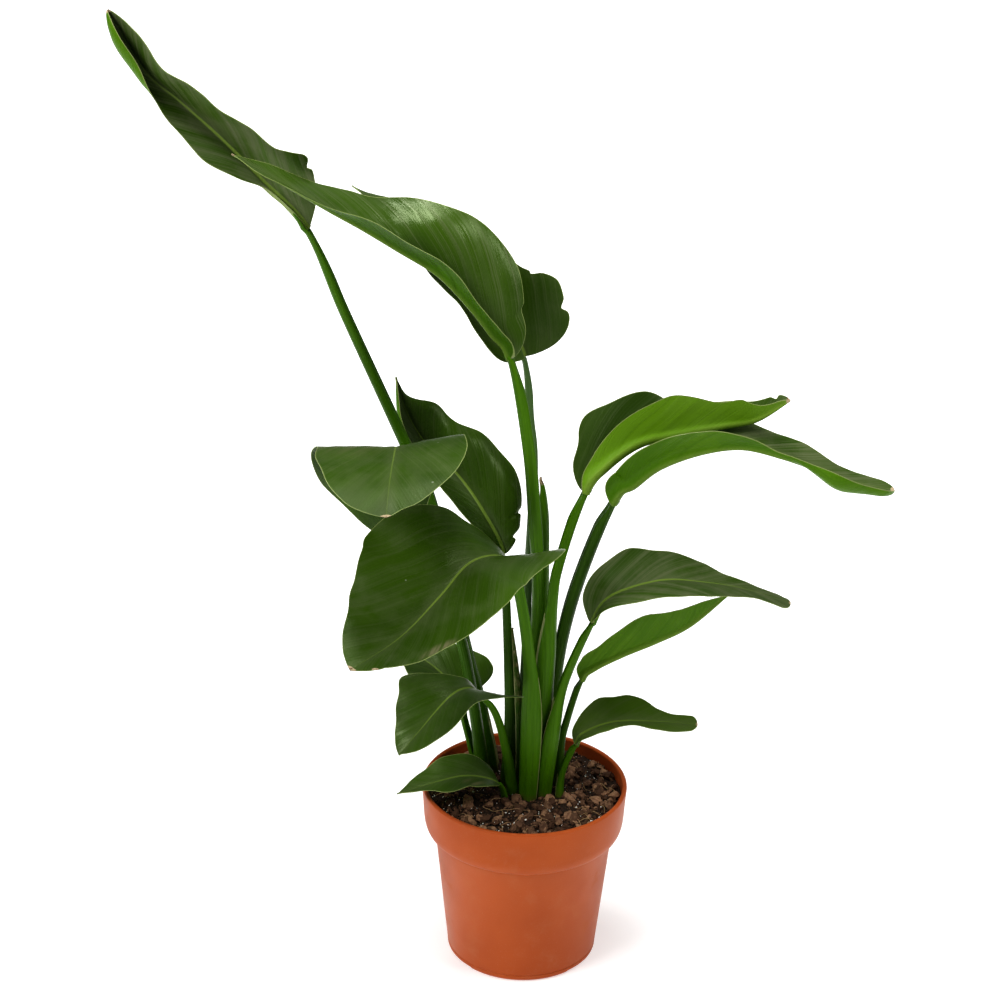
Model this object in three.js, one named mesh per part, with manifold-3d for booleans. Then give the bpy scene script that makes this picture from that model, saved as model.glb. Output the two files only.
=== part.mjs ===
// A potted bird of paradise: fourteen leaves on their stalks, one rolled young leaf and one old
// sheath, standing in potting mix in a terracotta-coloured nursery pot.
// Millimetres, +Z up. The origin is the middle of the pot's flat underside. The plant's flat
// fan of leaves lies along X and the side that is seen faces -Y.
import * as THREE from "three";
import Module from "manifold-3d";

const wasm = await Module();
wasm.setup();

// ---------- driving sizes, millimetres ----------
const GAP = 0.3; // air left between two pieces that rest on each other

// the pot: a standard 17 cm nursery pot
const RIM_RADIUS = 85;
const POT_HEIGHT = 156;
const BASE_RADIUS = 62.6;
const COLLAR_HEIGHT = 43;
const BODY_TOP_RADIUS = 74;
const WALL = 2.2;
const FLOOR = 2.4;
const PAD_RADIUS = 36; // the flat middle of the underside, on which the pot stands
const CHANNEL_LIFT = 3; // the ring round the pad is raised, so that water runs off
const CHANNEL_RADIUS = 54;
const DRAIN_HOLES = 6;
const DRAIN_RADIUS = 4;
const DRAIN_CIRCLE = 46;
const NOTCH_ANGLES = [37, 139, 217, 319]; // gaps in the foot ring, degrees
const NOTCH_WIDTH = 24;
const NOTCH_HEIGHT = 2.8;
const POT_SIDES = 48;

// the potting mix
const SOIL_MIDDLE = 147.5;
const SOIL_EDGE = 145;
const SOIL_SIDES = 40;
const SOIL_RINGS = 6;

// how finely the leaves are built
const BLADE_ROWS = 18; // from the stalk to the tip
const HALF_COLUMNS = 4; // from the midrib to one margin
const SECTION_STEPS = 12; // along a half's cross-section; a multiple of the columns
const KEEL_SHARE = 0.8; // how deep the midrib's keel is, as a share of the stalk's radius
const BASE_ROUND = 0.08; // the share of a blade over which its outline rounds off at the stalk
const TIP_ROUND = 0.05;
const NARROWEST = 0.8; // half the width of a blade at its two ends
const STALK_SIDES = 8;
const STALK_RINGS = 12;
const MARGIN_THICK = 1;
const STALK_FLATTEN = 0.75; // the side of a stalk that faces its blade's upper side is flatter

// colours
const TERRACOTTA = 0xbe5e36;
const SOIL_BROWN = 0x3a281d;
const LEAF_GREEN = 0x35502a;
const LEAF_YOUNG = 0x4f8426;
const STALK_GREEN = 0x4d7d22;
const SHEATH_BROWN = 0x6a6238;

// ---------- the leaves ----------
// path       points of the line from the foot of the stalk along the midrib to the tip
// stalk      how many of those points belong to the stalk
// azimuth    the way the leaf heads, seen from above, in degrees
// radii      of the stalk, from foot to blade
// wide       half the blade's width at every tenth of its length, left and right of the
//            midrib, seen from the stalk
// fold       how far each half is folded up out of the flat, in degrees, from base to tip
// curl       how much further each half bends on its way to the margin
// wave       ripple of the margin: height, count, start
const LEAVES = {
  tall_left: {
    path: [
      [-26, 40, 136], [-37, 38, 205], [-50, 36, 262], [-78, 32, 391], [-101, 30, 448],
      [-147, 30, 555], [-174, 30, 622], [-209, 29, 661], [-240, 27, 694], [-269, 24, 722],
      [-293, 20, 745], [-318, 15, 792],
    ],
    stalk: 7, azimuth: 180, radii: [7.5, 6.2, 5.5, 5, 4.5], wave: [1, 4, 0],
    wide: [
      [3, 3, 3, 17, 24, 24, 22, 18, 20, 24, 10],
      [4, 27, 43, 31, 30, 29, 32, 29, 25, 21, 9],
    ],
    fold: [[-20, -30, -35, -35, -75, -75], [105, 120, 135, 150, 150, 150]],
    curl: [[0, 0, 0, 0, 160, 160], [-20, -20]],
  },
  big_middle: {
    path: [
      [1, 18, 136], [5, 16, 230], [9, 13, 324], [4, 3, 400], [-2, -6, 460], [-16, -10, 535],
      [-31, -10, 557], [-50, -10, 581], [-73, -10, 604], [-101, -10, 621], [-130, -10, 638],
      [-156, -10, 652], [-187, -11, 670], [-227, -12, 693],
    ],
    stalk: 6, azimuth: 180, radii: [6, 6, 6.3, 6.6, 6, 5.2], wave: [1, 4, 0],
    wide: [
      [8, 12, 12, 16, 19, 19, 18, 18, 15, 10, 0],
      [12, 31, 48, 52, 47, 45, 33, 31, 26, 16, 0],
    ],
    fold: [[30, 36, 41, 34, 8, 0], [80, 88, 85, 38, 5, 5]],
    curl: [[0, 0], [-20, -45, -50, -25, 0, 0]],
  },
  dark_behind: {
    path: [
      [-4, 30, 136], [0, 30, 258], [0, 33, 316], [3, 36, 421], [-1, 36, 467], [-6, 34, 519],
      [-26, 36, 552], [-58, 40, 588], [-98, 44, 622], [-142, 48, 652],
    ],
    stalk: 6, azimuth: 180, radii: [5.5, 5, 4.5, 4.2, 4], wave: [2, 3, 1],
    wide: [
      [20, 44, 43, 44, 42, 40, 42, 37, 24, 13, 0],
      [40, 46, 52, 38, 34, 36, 34, 32, 26, 15, 0],
    ],
    fold: [[-20, -20, -10, 0], [100, 85, 25, 0]],
    curl: [[10, 10], [-10, -10]],
  },
  dark_mid: {
    path: [
      [-14, 14, 136], [-12, 17, 203], [-17, 20, 309], [-20, 27, 351], [-38, 37, 385],
      [-59, 49, 411], [-85, 58, 434], [-101, 61, 461], [-109, 62, 489],
    ],
    stalk: 4, azimuth: 180, radii: [6, 5.5, 4.5, 4], wave: [1, 3, 2],
    wide: [
      [3, 11, 16, 22, 23, 23, 26, 26, 22, 11, 0],
      [10, 23, 37, 43, 40, 40, 34, 29, 25, 6, 0],
    ],
    fold: [[-30, -45, -40, -75, -85, -85], [110, 110]],
    curl: [[10, 10, 20, 110, 150, 150], [-80, -80]],
  },
  left_droop: {
    path: [
      [-33, 23, 136], [-43, 21, 215], [-58, 22, 288], [-86, 20, 345], [-100, 10, 384],
      [-103, -4, 427], [-104, -40, 472], [-105, -80, 478], [-106, -116, 475], [-107, -150, 463],
    ],
    stalk: 4, azimuth: 272, radii: [6, 5, 4.5, 4], wave: [1, 3, 0],
    wide: [
      [4, 12, 18, 26, 38, 47, 53, 56, 50, 32, 6],
      [6, 18, 38, 57, 65, 67, 60, 59, 52, 42, 18],
    ],
    fold: [[0, 5, 8, 12, 6, 0], [10, 5, 0, 0, 0, 0]],
    curl: [[0, 0], [0, 0]],
  },
  big_front: {
    path: [
      [3, -8, 136], [5, -10, 226], [0, -14, 290], [-8, -16, 340], [-16, -24, 370],
      [-30, -42, 383], [-49, -60, 383], [-69, -85, 368], [-98, -120, 350], [-134, -150, 337],
    ],
    stalk: 5, azimuth: 217, radii: [5.8, 7, 5, 4.5], wave: [1, 3, 0],
    wide: [
      [50, 60, 61, 62, 62, 56, 51, 44, 36, 20, 6],
      [30, 38, 57, 76, 80, 73, 65, 59, 48, 34, 8],
    ],
    fold: [[42, 8, 0, 0, 0, 0], [15, 25, 25, 20, 15, 10]],
    curl: [[0, 0], [0, 0]],
  },
  low_left: {
    path: [
      [-8, -3, 136], [-14, -4, 180], [-24, -5, 220], [-36, -8, 240], [-46, -16, 252],
      [-62, -35, 254], [-86, -60, 235], [-101, -72, 220],
    ],
    stalk: 4, azimuth: 217, radii: [5, 4.5, 3.5, 3], wave: [1, 3, 0],
    wide: [
      [52, 47, 34, 28, 26, 26, 26, 25, 20, 12, 0],
      [3, 10, 15, 26, 38, 43, 36, 31, 22, 15, 4],
    ],
    fold: [[25, 10, 0, 0, 0, 0], [15, 15, 20, 10]],
    curl: [[0, 0], [0, 0]],
  },
  small_left: {
    path: [
      [-15, -9, 136], [-16, -11, 148], [-21, -14, 162], [-34, -16, 169], [-52, -20, 172],
      [-72, -30, 172], [-104, -42, 167],
    ],
    stalk: 3, azimuth: 200, radii: [3.5, 3, 2.5], wave: [0.8, 3, 0],
    wide: [
      [8, 16, 20, 22, 22, 21, 18, 12, 7, 3, 0],
      [8, 17, 22, 25, 24, 22, 20, 17, 12, 6, 0],
    ],
    fold: [[0, 5, 0, 0], [10, 18, 10, 0]],
    curl: [[0, 0], [0, 0]],
  },
  right_upper: {
    path: [
      [15, 11, 136], [13, 3, 230], [18, 0, 321], [23, 2, 356], [41, 8, 416], [58, 11, 438],
      [84, 13, 457], [115, 13, 465], [150, 12, 473], [175, 11, 479], [200, 10, 496],
    ],
    stalk: 5, azimuth: 0, radii: [6, 6.8, 6.4, 4.9, 5], wave: [1, 3, 0],
    wide: [
      [10, 24, 42, 40, 38, 28, 30, 25, 21, 15, 8],
      [4, 10, 16, 23, 29, 32, 28, 21, 20, 9, 4],
    ],
    fold: [[65, 65, 60, 32, 30, 45], [90, 92, 95, 95, 85, 70]],
    curl: [[0, 0], [0, 0]],
  },
  right_long: {
    path: [
      [22, 24, 136], [22, 19, 231], [34, 18, 314], [63, 8, 408], [80, 2, 428], [100, -2, 446],
      [132, -3, 459], [164, -3, 463], [196, -3, 455], [224, -3, 444], [252, -3, 434],
      [285, -3, 427],
    ],
    stalk: 4, azimuth: 0, radii: [6, 6, 6.3, 5.5], wave: [1, 3, 0],
    wide: [
      [10, 27, 34, 37, 38, 34, 28, 24, 15, 12, 8],
      [8, 20, 26, 30, 24, 13, 5, 14, 33, 24, 18],
    ],
    fold: [[10, 8, 10, 15, 15, 15], [70, 60, 55, 10, -60, -60]],
    curl: [[0, 0], [0, 0, 0, 60, 160, 150]],
  },
  right_mid: {
    path: [
      [14, -4, 136], [19, -7, 193], [29, -4, 249], [50, -2, 305], [60, -4, 326], [78, -5, 338],
      [108, -6, 347], [140, -7, 346], [172, -8, 341], [209, -10, 330],
    ],
    stalk: 4, azimuth: 0, radii: [5.4, 5.8, 4.5, 3.5], wave: [1, 3, 0],
    wide: [
      [6, 18, 27, 33, 26, 25, 22, 12, 9, 9, 10],
      [4, 14, 24, 27, 29, 35, 30, 22, 16, 13, 14],
    ],
    fold: [[60, 50, 38, 20, 8, 0], [0, 0, 0, 5, 0, 0]],
    curl: [[0, 0], [0, 0]],
  },
  right_light: {
    path: [
      [28, 12, 136], [29, 12, 182], [33, 12, 206], [44, 12, 246], [54, 11, 258], [78, 10, 272],
      [104, 10, 284], [131, 10, 299], [161, 10, 327],
    ],
    stalk: 4, azimuth: 0, radii: [4.5, 4, 3.5, 3.2], wave: [1, 3, 0],
    wide: [
      [4, 10, 15, 18, 20, 20, 18, 16, 12, 7, 0],
      [4, 14, 16, 23, 28, 29, 26, 22, 15, 9, 0],
    ],
    fold: [[30, 20, 20, 20], [80, 76, 76, 70]],
    curl: [[0, 0], [0, 0]],
  },
  right_low: {
    path: [
      [28, -5, 136], [30, -2, 165], [40, -3, 193], [47, -5, 206], [72, -7, 218], [106, -9, 220],
      [140, -10, 218],
    ],
    stalk: 3, azimuth: 0, radii: [4, 3.5, 3], wave: [0.8, 3, 0],
    wide: [
      [2, 9, 18, 24, 22, 24, 21, 12, 8, 9, 9],
      [3, 10, 14, 11, 9, 8, 8, 10, 13, 11, 6],
    ],
    fold: [[50, 40, 32, 30, 25, 20], [-5, 0, -5, -10, -10, -10]],
    curl: [[0, 0], [0, 0]],
  },
  hidden_left: {
    path: [
      [-38, 42, 136], [-46, 38, 172], [-51, 37, 193], [-54, 40, 208], [-63, 47, 222],
      [-79, 58, 233], [-96, 69, 237], [-110, 77, 234],
    ],
    stalk: 4, azimuth: 140, radii: [4, 3.6, 3.2, 3], wave: [1, 3, 0],
    wide: [
      [16, 36, 40, 38, 35, 32, 28, 23, 17, 9, 0],
      [16, 38, 42, 40, 36, 32, 28, 23, 17, 9, 0],
    ],
    fold: [[10, 10, 5, 0], [15, 15, 10, 5]],
    curl: [[0, 0], [0, 0]],
  },
};

// two pieces that have a stalk's shape but carry no blade
const SHOOTS = {
  old_sheath: {
    path: [[-5, 7, 136], [-6, 8, 200], [-9, 10, 250], [-13, 12, 292]],
    stalk: 4, azimuth: 0, radii: [3.8, 3.6, 3, 0.8],
  },
  rolled_leaf: {
    path: [[11, 26, 136], [12, 27, 250], [11, 27, 355], [10, 26, 405], [7, 25, 420]],
    stalk: 5, azimuth: 0, radii: [4.5, 5, 5.4, 5.5, 5.5, 5.4, 5.2, 4.6, 1],
  },
};
const YOUNG = ["right_light", "right_upper"]; // leaves that show their paler underside

// ---------- small tools ----------
const radians = (degrees) => (degrees * Math.PI) / 180;

// a smooth curve through evenly numbered values, read at t from 0 to 1
function smooth(values, t) {
  const last = values.length - 1;
  const x = Math.min(Math.max(t, 0), 1) * last;
  const i = Math.min(Math.floor(x), last - 1);
  const f = x - i;
  const before = i > 0 ? values[i - 1] : 2 * values[0] - values[1];
  const after = i + 2 <= last ? values[i + 2] : 2 * values[last] - values[last - 1];
  const [a, b] = [values[i], values[i + 1]];
  const [slopeA, slopeB] = [(b - before) / 2, (after - a) / 2];
  const cubic = (2 * a - 2 * b + slopeA + slopeB) * f ** 3;
  return cubic + (-3 * a + 3 * b - 2 * slopeA - slopeB) * f * f + slopeA * f + a;
}

// the point of a path at t, from 0 at its first point to 1 at its last
function pathPoint(path, t) {
  return new THREE.Vector3(...[0, 1, 2].map((axis) => smooth(path.map((p) => p[axis]), t)));
}

const evenly = (share) => share;
const crowdedAtEnds = (share) => (1 - Math.cos(Math.PI * share)) / 2;

// stations along a part of a path, each with its three directions: along the path, sideways
// (level, and across the way the leaf heads) and up out of the leaf
function stations(leaf, first, last, count, startGap, spacing) {
  const steps = 400;
  const spans = leaf.path.length - 1;
  const fine = [];
  const reach = [0];
  for (let i = 0; i <= steps; i += 1) {
    fine.push(pathPoint(leaf.path, (first + ((last - first) * i) / steps) / spans));
    if (i > 0) reach.push(reach[i - 1] + fine[i].distanceTo(fine[i - 1]));
  }
  const turn = radians(leaf.azimuth);
  const level = new THREE.Vector3(-Math.sin(turn), Math.cos(turn), 0);
  const out = [];
  for (let row = 0; row < count; row += 1) {
    const s = spacing(row / (count - 1));
    const want = startGap + (reach[steps] - startGap) * s;
    let i = 1;
    while (i < steps && reach[i] < want) i += 1;
    const share = (want - reach[i - 1]) / (reach[i] - reach[i - 1]);
    const point = fine[i - 1].clone().lerp(fine[i], share);
    const a = fine[Math.max(i - 3, 0)];
    const b = fine[Math.min(i + 2, steps)];
    const along = b.clone().sub(a).normalize();
    const side = level.clone().addScaledVector(along, -level.dot(along)).normalize();
    const up = along.clone().cross(side);
    out.push({ point, along, side, up, s });
  }
  return out;
}

// a closed body from points and faces, turned so that its faces look outward
function closedBody(points, faces) {
  let volume = 0;
  for (const [a, b, c] of faces) {
    volume += points[a].clone().cross(points[b]).dot(points[c]);
  }
  const geometry = new THREE.BufferGeometry();
  const flat = points.flatMap((p) => [p.x, p.y, p.z]);
  geometry.setAttribute("position", new THREE.Float32BufferAttribute(flat, 3));
  geometry.setIndex(faces.flatMap(([a, b, c]) => (volume > 0 ? [a, b, c] : [a, c, b])));
  geometry.computeVertexNormals();
  return geometry;
}

// joins rings of points into a closed tube with a fan over each end
function tube(rings) {
  const sides = rings[0].length;
  const points = rings.flat();
  const faces = [];
  for (let i = 0; i + 1 < rings.length; i += 1) {
    for (let j = 0; j < sides; j += 1) {
      const [a, b] = [i * sides + j, i * sides + ((j + 1) % sides)];
      faces.push([a, b, b + sides], [a, b + sides, a + sides]);
    }
  }
  for (const [ring, flip] of [[0, true], [rings.length - 1, false]]) {
    const centre = rings[ring].reduce((sum, p) => sum.add(p), new THREE.Vector3());
    points.push(centre.divideScalar(sides));
    for (let j = 0; j < sides; j += 1) {
      const [a, b] = [ring * sides + j, ring * sides + ((j + 1) % sides)];
      faces.push(flip ? [points.length - 1, b, a] : [points.length - 1, a, b]);
    }
  }
  return closedBody(points, faces);
}

// ---------- boolean operations ----------
function toSolid(geometry) {
  const position = geometry.getAttribute("position");
  const index = geometry.getIndex();
  const keys = new Map();
  const places = [];
  const use = [];
  for (let i = 0; i < position.count; i += 1) {
    const xyz = [position.getX(i), position.getY(i), position.getZ(i)];
    const key = xyz.map((v) => Math.round(v * 1e4)).join();
    if (!keys.has(key)) {
      keys.set(key, keys.size);
      places.push(...xyz);
    }
    use.push(keys.get(key));
  }
  const corners = index ? Array.from(index.array) : use.map((_, i) => i);
  const faces = [];
  for (let i = 0; i < corners.length; i += 3) {
    const [a, b, c] = [0, 1, 2].map((k) => use[corners[i + k]]);
    if (a !== b && b !== c && a !== c) faces.push(a, b, c);
  }
  const mesh = new wasm.Mesh({
    numProp: 3,
    vertProperties: new Float32Array(places),
    triVerts: new Uint32Array(faces),
  });
  return new wasm.Manifold(mesh);
}

function toGeometry(solid) {
  const mesh = solid.getMesh();
  const geometry = new THREE.BufferGeometry();
  const places = new Float32Array(mesh.vertProperties);
  geometry.setAttribute("position", new THREE.BufferAttribute(places, 3));
  geometry.setIndex(Array.from(mesh.triVerts));
  geometry.computeVertexNormals();
  return geometry;
}

// ---------- leaves ----------
// rises from 0 to 1 over a span, like a quarter of a circle
function roundEnd(share, span) {
  const x = Math.min(share / span, 1);
  return Math.sqrt(Math.max(1 - (1 - x) ** 2, 0));
}

// half the blade's width, s of the way from the stalk to the tip
function halfWidth(leaf, half, s) {
  const rounded = roundEnd(s, BASE_ROUND) * roundEnd(1 - s, TIP_ROUND);
  return Math.max(smooth(leaf.wide[half], s) * rounded, NARROWEST);
}

// the points from the midrib out to one margin, with the direction in which the leaf is thick
function halfRow(leaf, half, station) {
  const { point, side, up, s } = station;
  const sign = half === 0 ? 1 : -1;
  const fold = radians(smooth(leaf.fold[half], s));
  const curl = radians(smooth(leaf.curl[half], s));
  const width = halfWidth(leaf, half, s);
  const [height, count, start] = leaf.wave;
  const fade = Math.sqrt(Math.sin(Math.PI * s) + 1e-9);
  const phase = 2 * Math.PI * count * s + start + (half === 0 ? 0 : -1.7);
  const ripple = height * fade * Math.sin(phase);
  const row = [];
  let [across, lift] = [0, 0];
  for (let i = 1; i <= SECTION_STEPS; i += 1) {
    const angle = fold + (curl * (i - 0.5)) / SECTION_STEPS;
    across += (width / SECTION_STEPS) * Math.cos(angle);
    lift += (width / SECTION_STEPS) * Math.sin(angle);
    if (i % (SECTION_STEPS / HALF_COLUMNS) !== 0) continue;
    const v = i / SECTION_STEPS;
    const place = point.clone().addScaledVector(side, sign * across);
    place.addScaledVector(up, lift + ripple * v * v);
    const bend = fold + curl * v;
    const down = up.clone().multiplyScalar(-Math.cos(bend));
    down.addScaledVector(side, sign * Math.sin(bend));
    row.push({ place, down, v });
  }
  return row;
}

// a blade is a closed sheet: thin at its margins and thick along the keel under its midrib
function bladeGeometry(leaf) {
  const end = leaf.path.length - 1;
  const rows = stations(leaf, leaf.stalk - 1, end, BLADE_ROWS, GAP, crowdedAtEnds);
  const keel = leaf.radii[leaf.radii.length - 1];
  const columns = 2 * HALF_COLUMNS + 1;
  const upper = [];
  const lower = [];
  for (const station of rows) {
    const [left, right] = [halfRow(leaf, 0, station), halfRow(leaf, 1, station)];
    const mitre = left[0].down.clone().add(right[0].down).normalize();
    const middle = { place: station.point, down: mitre, v: 0 };
    for (const { place, down, v } of [...left.reverse(), middle, ...right]) {
      const ridge = v === 0 ? keel * KEEL_SHARE * (1 - station.s) : 0;
      upper.push(place);
      lower.push(place.clone().addScaledVector(down, MARGIN_THICK + ridge));
    }
  }
  const points = [...upper, ...lower];
  const under = upper.length;
  const faces = [];
  for (let i = 0; i + 1 < BLADE_ROWS; i += 1) {
    for (let j = 0; j + 1 < columns; j += 1) {
      const [a, b] = [i * columns + j, (i + 1) * columns + j];
      faces.push([a, b + 1, b], [a, a + 1, b + 1]);
      faces.push([a + under, b + under, b + 1 + under], [a + under, b + 1 + under, a + 1 + under]);
    }
    const [a, b] = [i * columns, (i + 1) * columns];
    faces.push([a, b, b + under], [a, b + under, a + under]);
    const [c, d] = [a + columns - 1, b + columns - 1];
    faces.push([c, d + under, d], [c, c + under, d + under]);
  }
  const tip = (BLADE_ROWS - 1) * columns;
  for (let j = 0; j + 1 < columns; j += 1) {
    faces.push([j, j + under, j + 1 + under], [j, j + 1 + under, j + 1]);
    const [e, f] = [tip + j, tip + j + 1];
    faces.push([e, f + under, e + under], [e, f, f + under]);
  }
  return closedBody(points, faces);
}

// a stalk, made `grow` thicker and longer at its foot when it is used to cut its own socket
function stalkGeometry(leaf, grow = 0) {
  const rings = [];
  for (const station of stations(leaf, 0, leaf.stalk - 1, STALK_RINGS, 0, evenly)) {
    const { point, along, side, up, s } = station;
    const radius = smooth(leaf.radii, s) + grow;
    const centre = point.clone().addScaledVector(along, s === 0 ? -grow : 0);
    const ring = [];
    for (let j = 0; j < STALK_SIDES; j += 1) {
      const angle = (2 * Math.PI * j) / STALK_SIDES;
      const flatten = Math.sin(angle) > 0 ? STALK_FLATTEN : 1;
      const place = centre.clone().addScaledVector(side, radius * Math.cos(angle));
      ring.push(place.addScaledVector(up, radius * flatten * Math.sin(angle)));
    }
    rings.push(ring);
  }
  return tube(rings);
}

// ---------- pot ----------
function potGeometry() {
  const shoulder = POT_HEIGHT - COLLAR_HEIGHT;
  const profile = [
    [0, 0], [PAD_RADIUS, 0], [PAD_RADIUS + 2, CHANNEL_LIFT], [CHANNEL_RADIUS, CHANNEL_LIFT],
    [CHANNEL_RADIUS + 2, 0], [BASE_RADIUS - 3.6, 0], [BASE_RADIUS - 1.4, 1],
    [BASE_RADIUS - 0.3, 3], [BASE_RADIUS + 0.2, 6],
    [BODY_TOP_RADIUS, shoulder], [BODY_TOP_RADIUS + 4.8, shoulder + 2.5],
    [RIM_RADIUS - 3.2, shoulder + 7], [RIM_RADIUS - 1.8, shoulder + 14],
    [RIM_RADIUS, POT_HEIGHT - 2.5], [RIM_RADIUS - 0.6, POT_HEIGHT - 0.6],
    [RIM_RADIUS - 2, POT_HEIGHT], [RIM_RADIUS - 3, POT_HEIGHT - 1.2],
    [RIM_RADIUS - 1.8 - WALL, shoulder + 14], [RIM_RADIUS - 3.2 - WALL, shoulder + 8.4],
    [BODY_TOP_RADIUS + 4 - WALL, shoulder + 4], [BODY_TOP_RADIUS - WALL, shoulder + 1.2],
    [BASE_RADIUS - WALL, FLOOR + CHANNEL_LIFT],
    [PAD_RADIUS + 2.5, FLOOR + CHANNEL_LIFT], [PAD_RADIUS + 0.5, FLOOR], [0, FLOOR],
  ];
  const turned = new THREE.LatheGeometry(profile.map(([r, z]) => new THREE.Vector2(r, z)), POT_SIDES);
  turned.rotateX(Math.PI / 2);
  let pot = toSolid(turned);
  if (pot.volume() < 0) throw new Error("the pot's profile runs the wrong way round");
  for (let i = 0; i < DRAIN_HOLES; i += 1) {
    const angle = (2 * Math.PI * (i + 0.5)) / DRAIN_HOLES;
    const drill = new THREE.CylinderGeometry(DRAIN_RADIUS, DRAIN_RADIUS, 12, 12);
    drill.rotateX(Math.PI / 2);
    drill.translate(DRAIN_CIRCLE * Math.cos(angle), DRAIN_CIRCLE * Math.sin(angle), 3);
    pot = pot.subtract(toSolid(drill));
  }
  for (const angle of NOTCH_ANGLES) {
    const cutter = new THREE.BoxGeometry(12, NOTCH_WIDTH, 2 * NOTCH_HEIGHT);
    cutter.translate(BASE_RADIUS - 1, 0, 0);
    cutter.rotateZ(radians(angle));
    pot = pot.subtract(toSolid(cutter));
  }
  return toGeometry(pot);
}

// ---------- potting mix ----------
function soilTop(x, y) {
  const r = Math.hypot(x, y) / RIM_RADIUS;
  const mound = SOIL_MIDDLE + (SOIL_EDGE - SOIL_MIDDLE) * r * r;
  return mound + 0.9 * Math.sin(0.21 * x + 1) * Math.cos(0.26 * y) + 0.5 * Math.sin(0.5 * (x - y));
}

function soilGeometry(stalks) {
  const shoulder = POT_HEIGHT - COLLAR_HEIGHT;
  const outer = RIM_RADIUS - 1.8 - WALL - 2 * GAP;
  const under = FLOOR + CHANNEL_LIFT + GAP;
  const flank = [
    [outer, shoulder + 15], [outer - 1.6, shoulder + 9], [BODY_TOP_RADIUS + 3.2 - WALL, shoulder + 5],
    [BODY_TOP_RADIUS - WALL - 3 * GAP, shoulder + 1],
    [BASE_RADIUS - WALL - 2 * GAP, under], [PAD_RADIUS + 1.8, under], [PAD_RADIUS, FLOOR + GAP],
  ];
  const points = [new THREE.Vector3(0, 0, soilTop(0, 0))];
  const rings = [];
  const addRing = (radius, height) => {
    rings.push(points.length);
    for (let j = 0; j < SOIL_SIDES; j += 1) {
      const angle = (2 * Math.PI * j) / SOIL_SIDES;
      const [x, y] = [radius * Math.cos(angle), radius * Math.sin(angle)];
      points.push(new THREE.Vector3(x, y, height === null ? soilTop(x, y) : height));
    }
  };
  for (let i = 1; i <= SOIL_RINGS; i += 1) addRing((outer * i) / SOIL_RINGS, null);
  for (const [radius, height] of flank) addRing(radius, height);
  points.push(new THREE.Vector3(0, 0, FLOOR + GAP));
  const faces = [];
  for (let j = 0; j < SOIL_SIDES; j += 1) {
    const next = (j + 1) % SOIL_SIDES;
    faces.push([0, rings[0] + j, rings[0] + next]);
    for (let i = 0; i + 1 < rings.length; i += 1) {
      const [a, b] = [rings[i] + j, rings[i] + next];
      const [c, d] = [rings[i + 1] + j, rings[i + 1] + next];
      faces.push([a, c, d], [a, d, b]);
    }
    const end = rings[rings.length - 1];
    faces.push([points.length - 1, end + next, end + j]);
  }
  let soil = toSolid(closedBody(points, faces));
  for (const stalk of stalks) soil = soil.subtract(toSolid(stalkGeometry(stalk, GAP)));
  return toGeometry(soil);
}

// ---------- the whole plant ----------
const plant = new THREE.Group();
plant.name = "potted_bird_of_paradise";

function add(name, geometry, color, roughness) {
  const material = new THREE.MeshStandardMaterial({ color, roughness, metalness: 0 });
  const mesh = new THREE.Mesh(geometry, material);
  mesh.name = name;
  plant.add(mesh);
}

add("pot", potGeometry(), TERRACOTTA, 0.5);
add("potting_mix", soilGeometry([...Object.values(LEAVES), ...Object.values(SHOOTS)]), SOIL_BROWN, 0.95);
for (const [name, leaf] of Object.entries(LEAVES)) {
  const pale = YOUNG.includes(name);
  add(`${name}_stalk`, stalkGeometry(leaf), STALK_GREEN, 0.45);
  add(`${name}_blade`, bladeGeometry(leaf), pale ? LEAF_YOUNG : LEAF_GREEN, 0.4);
}
add("old_sheath", stalkGeometry(SHOOTS.old_sheath), SHEATH_BROWN, 0.7);
add("rolled_leaf", stalkGeometry(SHOOTS.rolled_leaf), STALK_GREEN, 0.45);

export default plant;
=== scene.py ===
# %% [markdown]
# # A potted bird of paradise
# The plant is fourteen broad leaves on long grooved stalks, with one rolled young leaf and one
# old sheath, in bark mix in a terracotta-coloured pot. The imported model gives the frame: every
# node is at its real place and size. Loading it first means that each new piece can be put
# where the model already is, and nothing has to be fitted afterwards.

# %% Load the frame
import math
import random

import bmesh
import bpy
from mathutils import Matrix, Vector, noise


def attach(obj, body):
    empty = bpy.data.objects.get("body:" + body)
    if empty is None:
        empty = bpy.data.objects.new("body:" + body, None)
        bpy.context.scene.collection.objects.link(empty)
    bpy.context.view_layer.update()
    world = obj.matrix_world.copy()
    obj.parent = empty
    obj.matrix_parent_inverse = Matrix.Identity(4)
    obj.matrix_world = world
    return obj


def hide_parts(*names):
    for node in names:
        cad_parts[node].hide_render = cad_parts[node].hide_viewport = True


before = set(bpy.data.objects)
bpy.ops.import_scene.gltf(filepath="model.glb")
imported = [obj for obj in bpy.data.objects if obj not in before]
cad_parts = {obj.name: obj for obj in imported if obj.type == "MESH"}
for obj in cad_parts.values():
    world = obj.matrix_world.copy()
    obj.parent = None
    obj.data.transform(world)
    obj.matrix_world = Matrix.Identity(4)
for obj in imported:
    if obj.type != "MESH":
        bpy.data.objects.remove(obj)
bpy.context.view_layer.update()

MM = 0.001  # the plant's own numbers are millimetres, and Blender's are metres

# %% [markdown]
# ## Small helpers for meshes
# Every mesh is worked out as an editing mesh, `bm`, and turned into a real one when it is done.
# Every object is linked to the scene as soon as it is made.

# %% Mesh helpers
def finished_mesh(bm, name):
    """turns an editing mesh into a real one and lets the editing mesh go"""
    mesh = bpy.data.meshes.new(name)
    bm.to_mesh(mesh)
    bm.free()
    return mesh


def put(name, data):
    """an object that shows a mesh, a lamp or a camera, linked to the scene"""
    made = bpy.data.objects.new(name, data)
    bpy.context.scene.collection.objects.link(made)
    return made


print("the helpers for meshes are ready")

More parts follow.
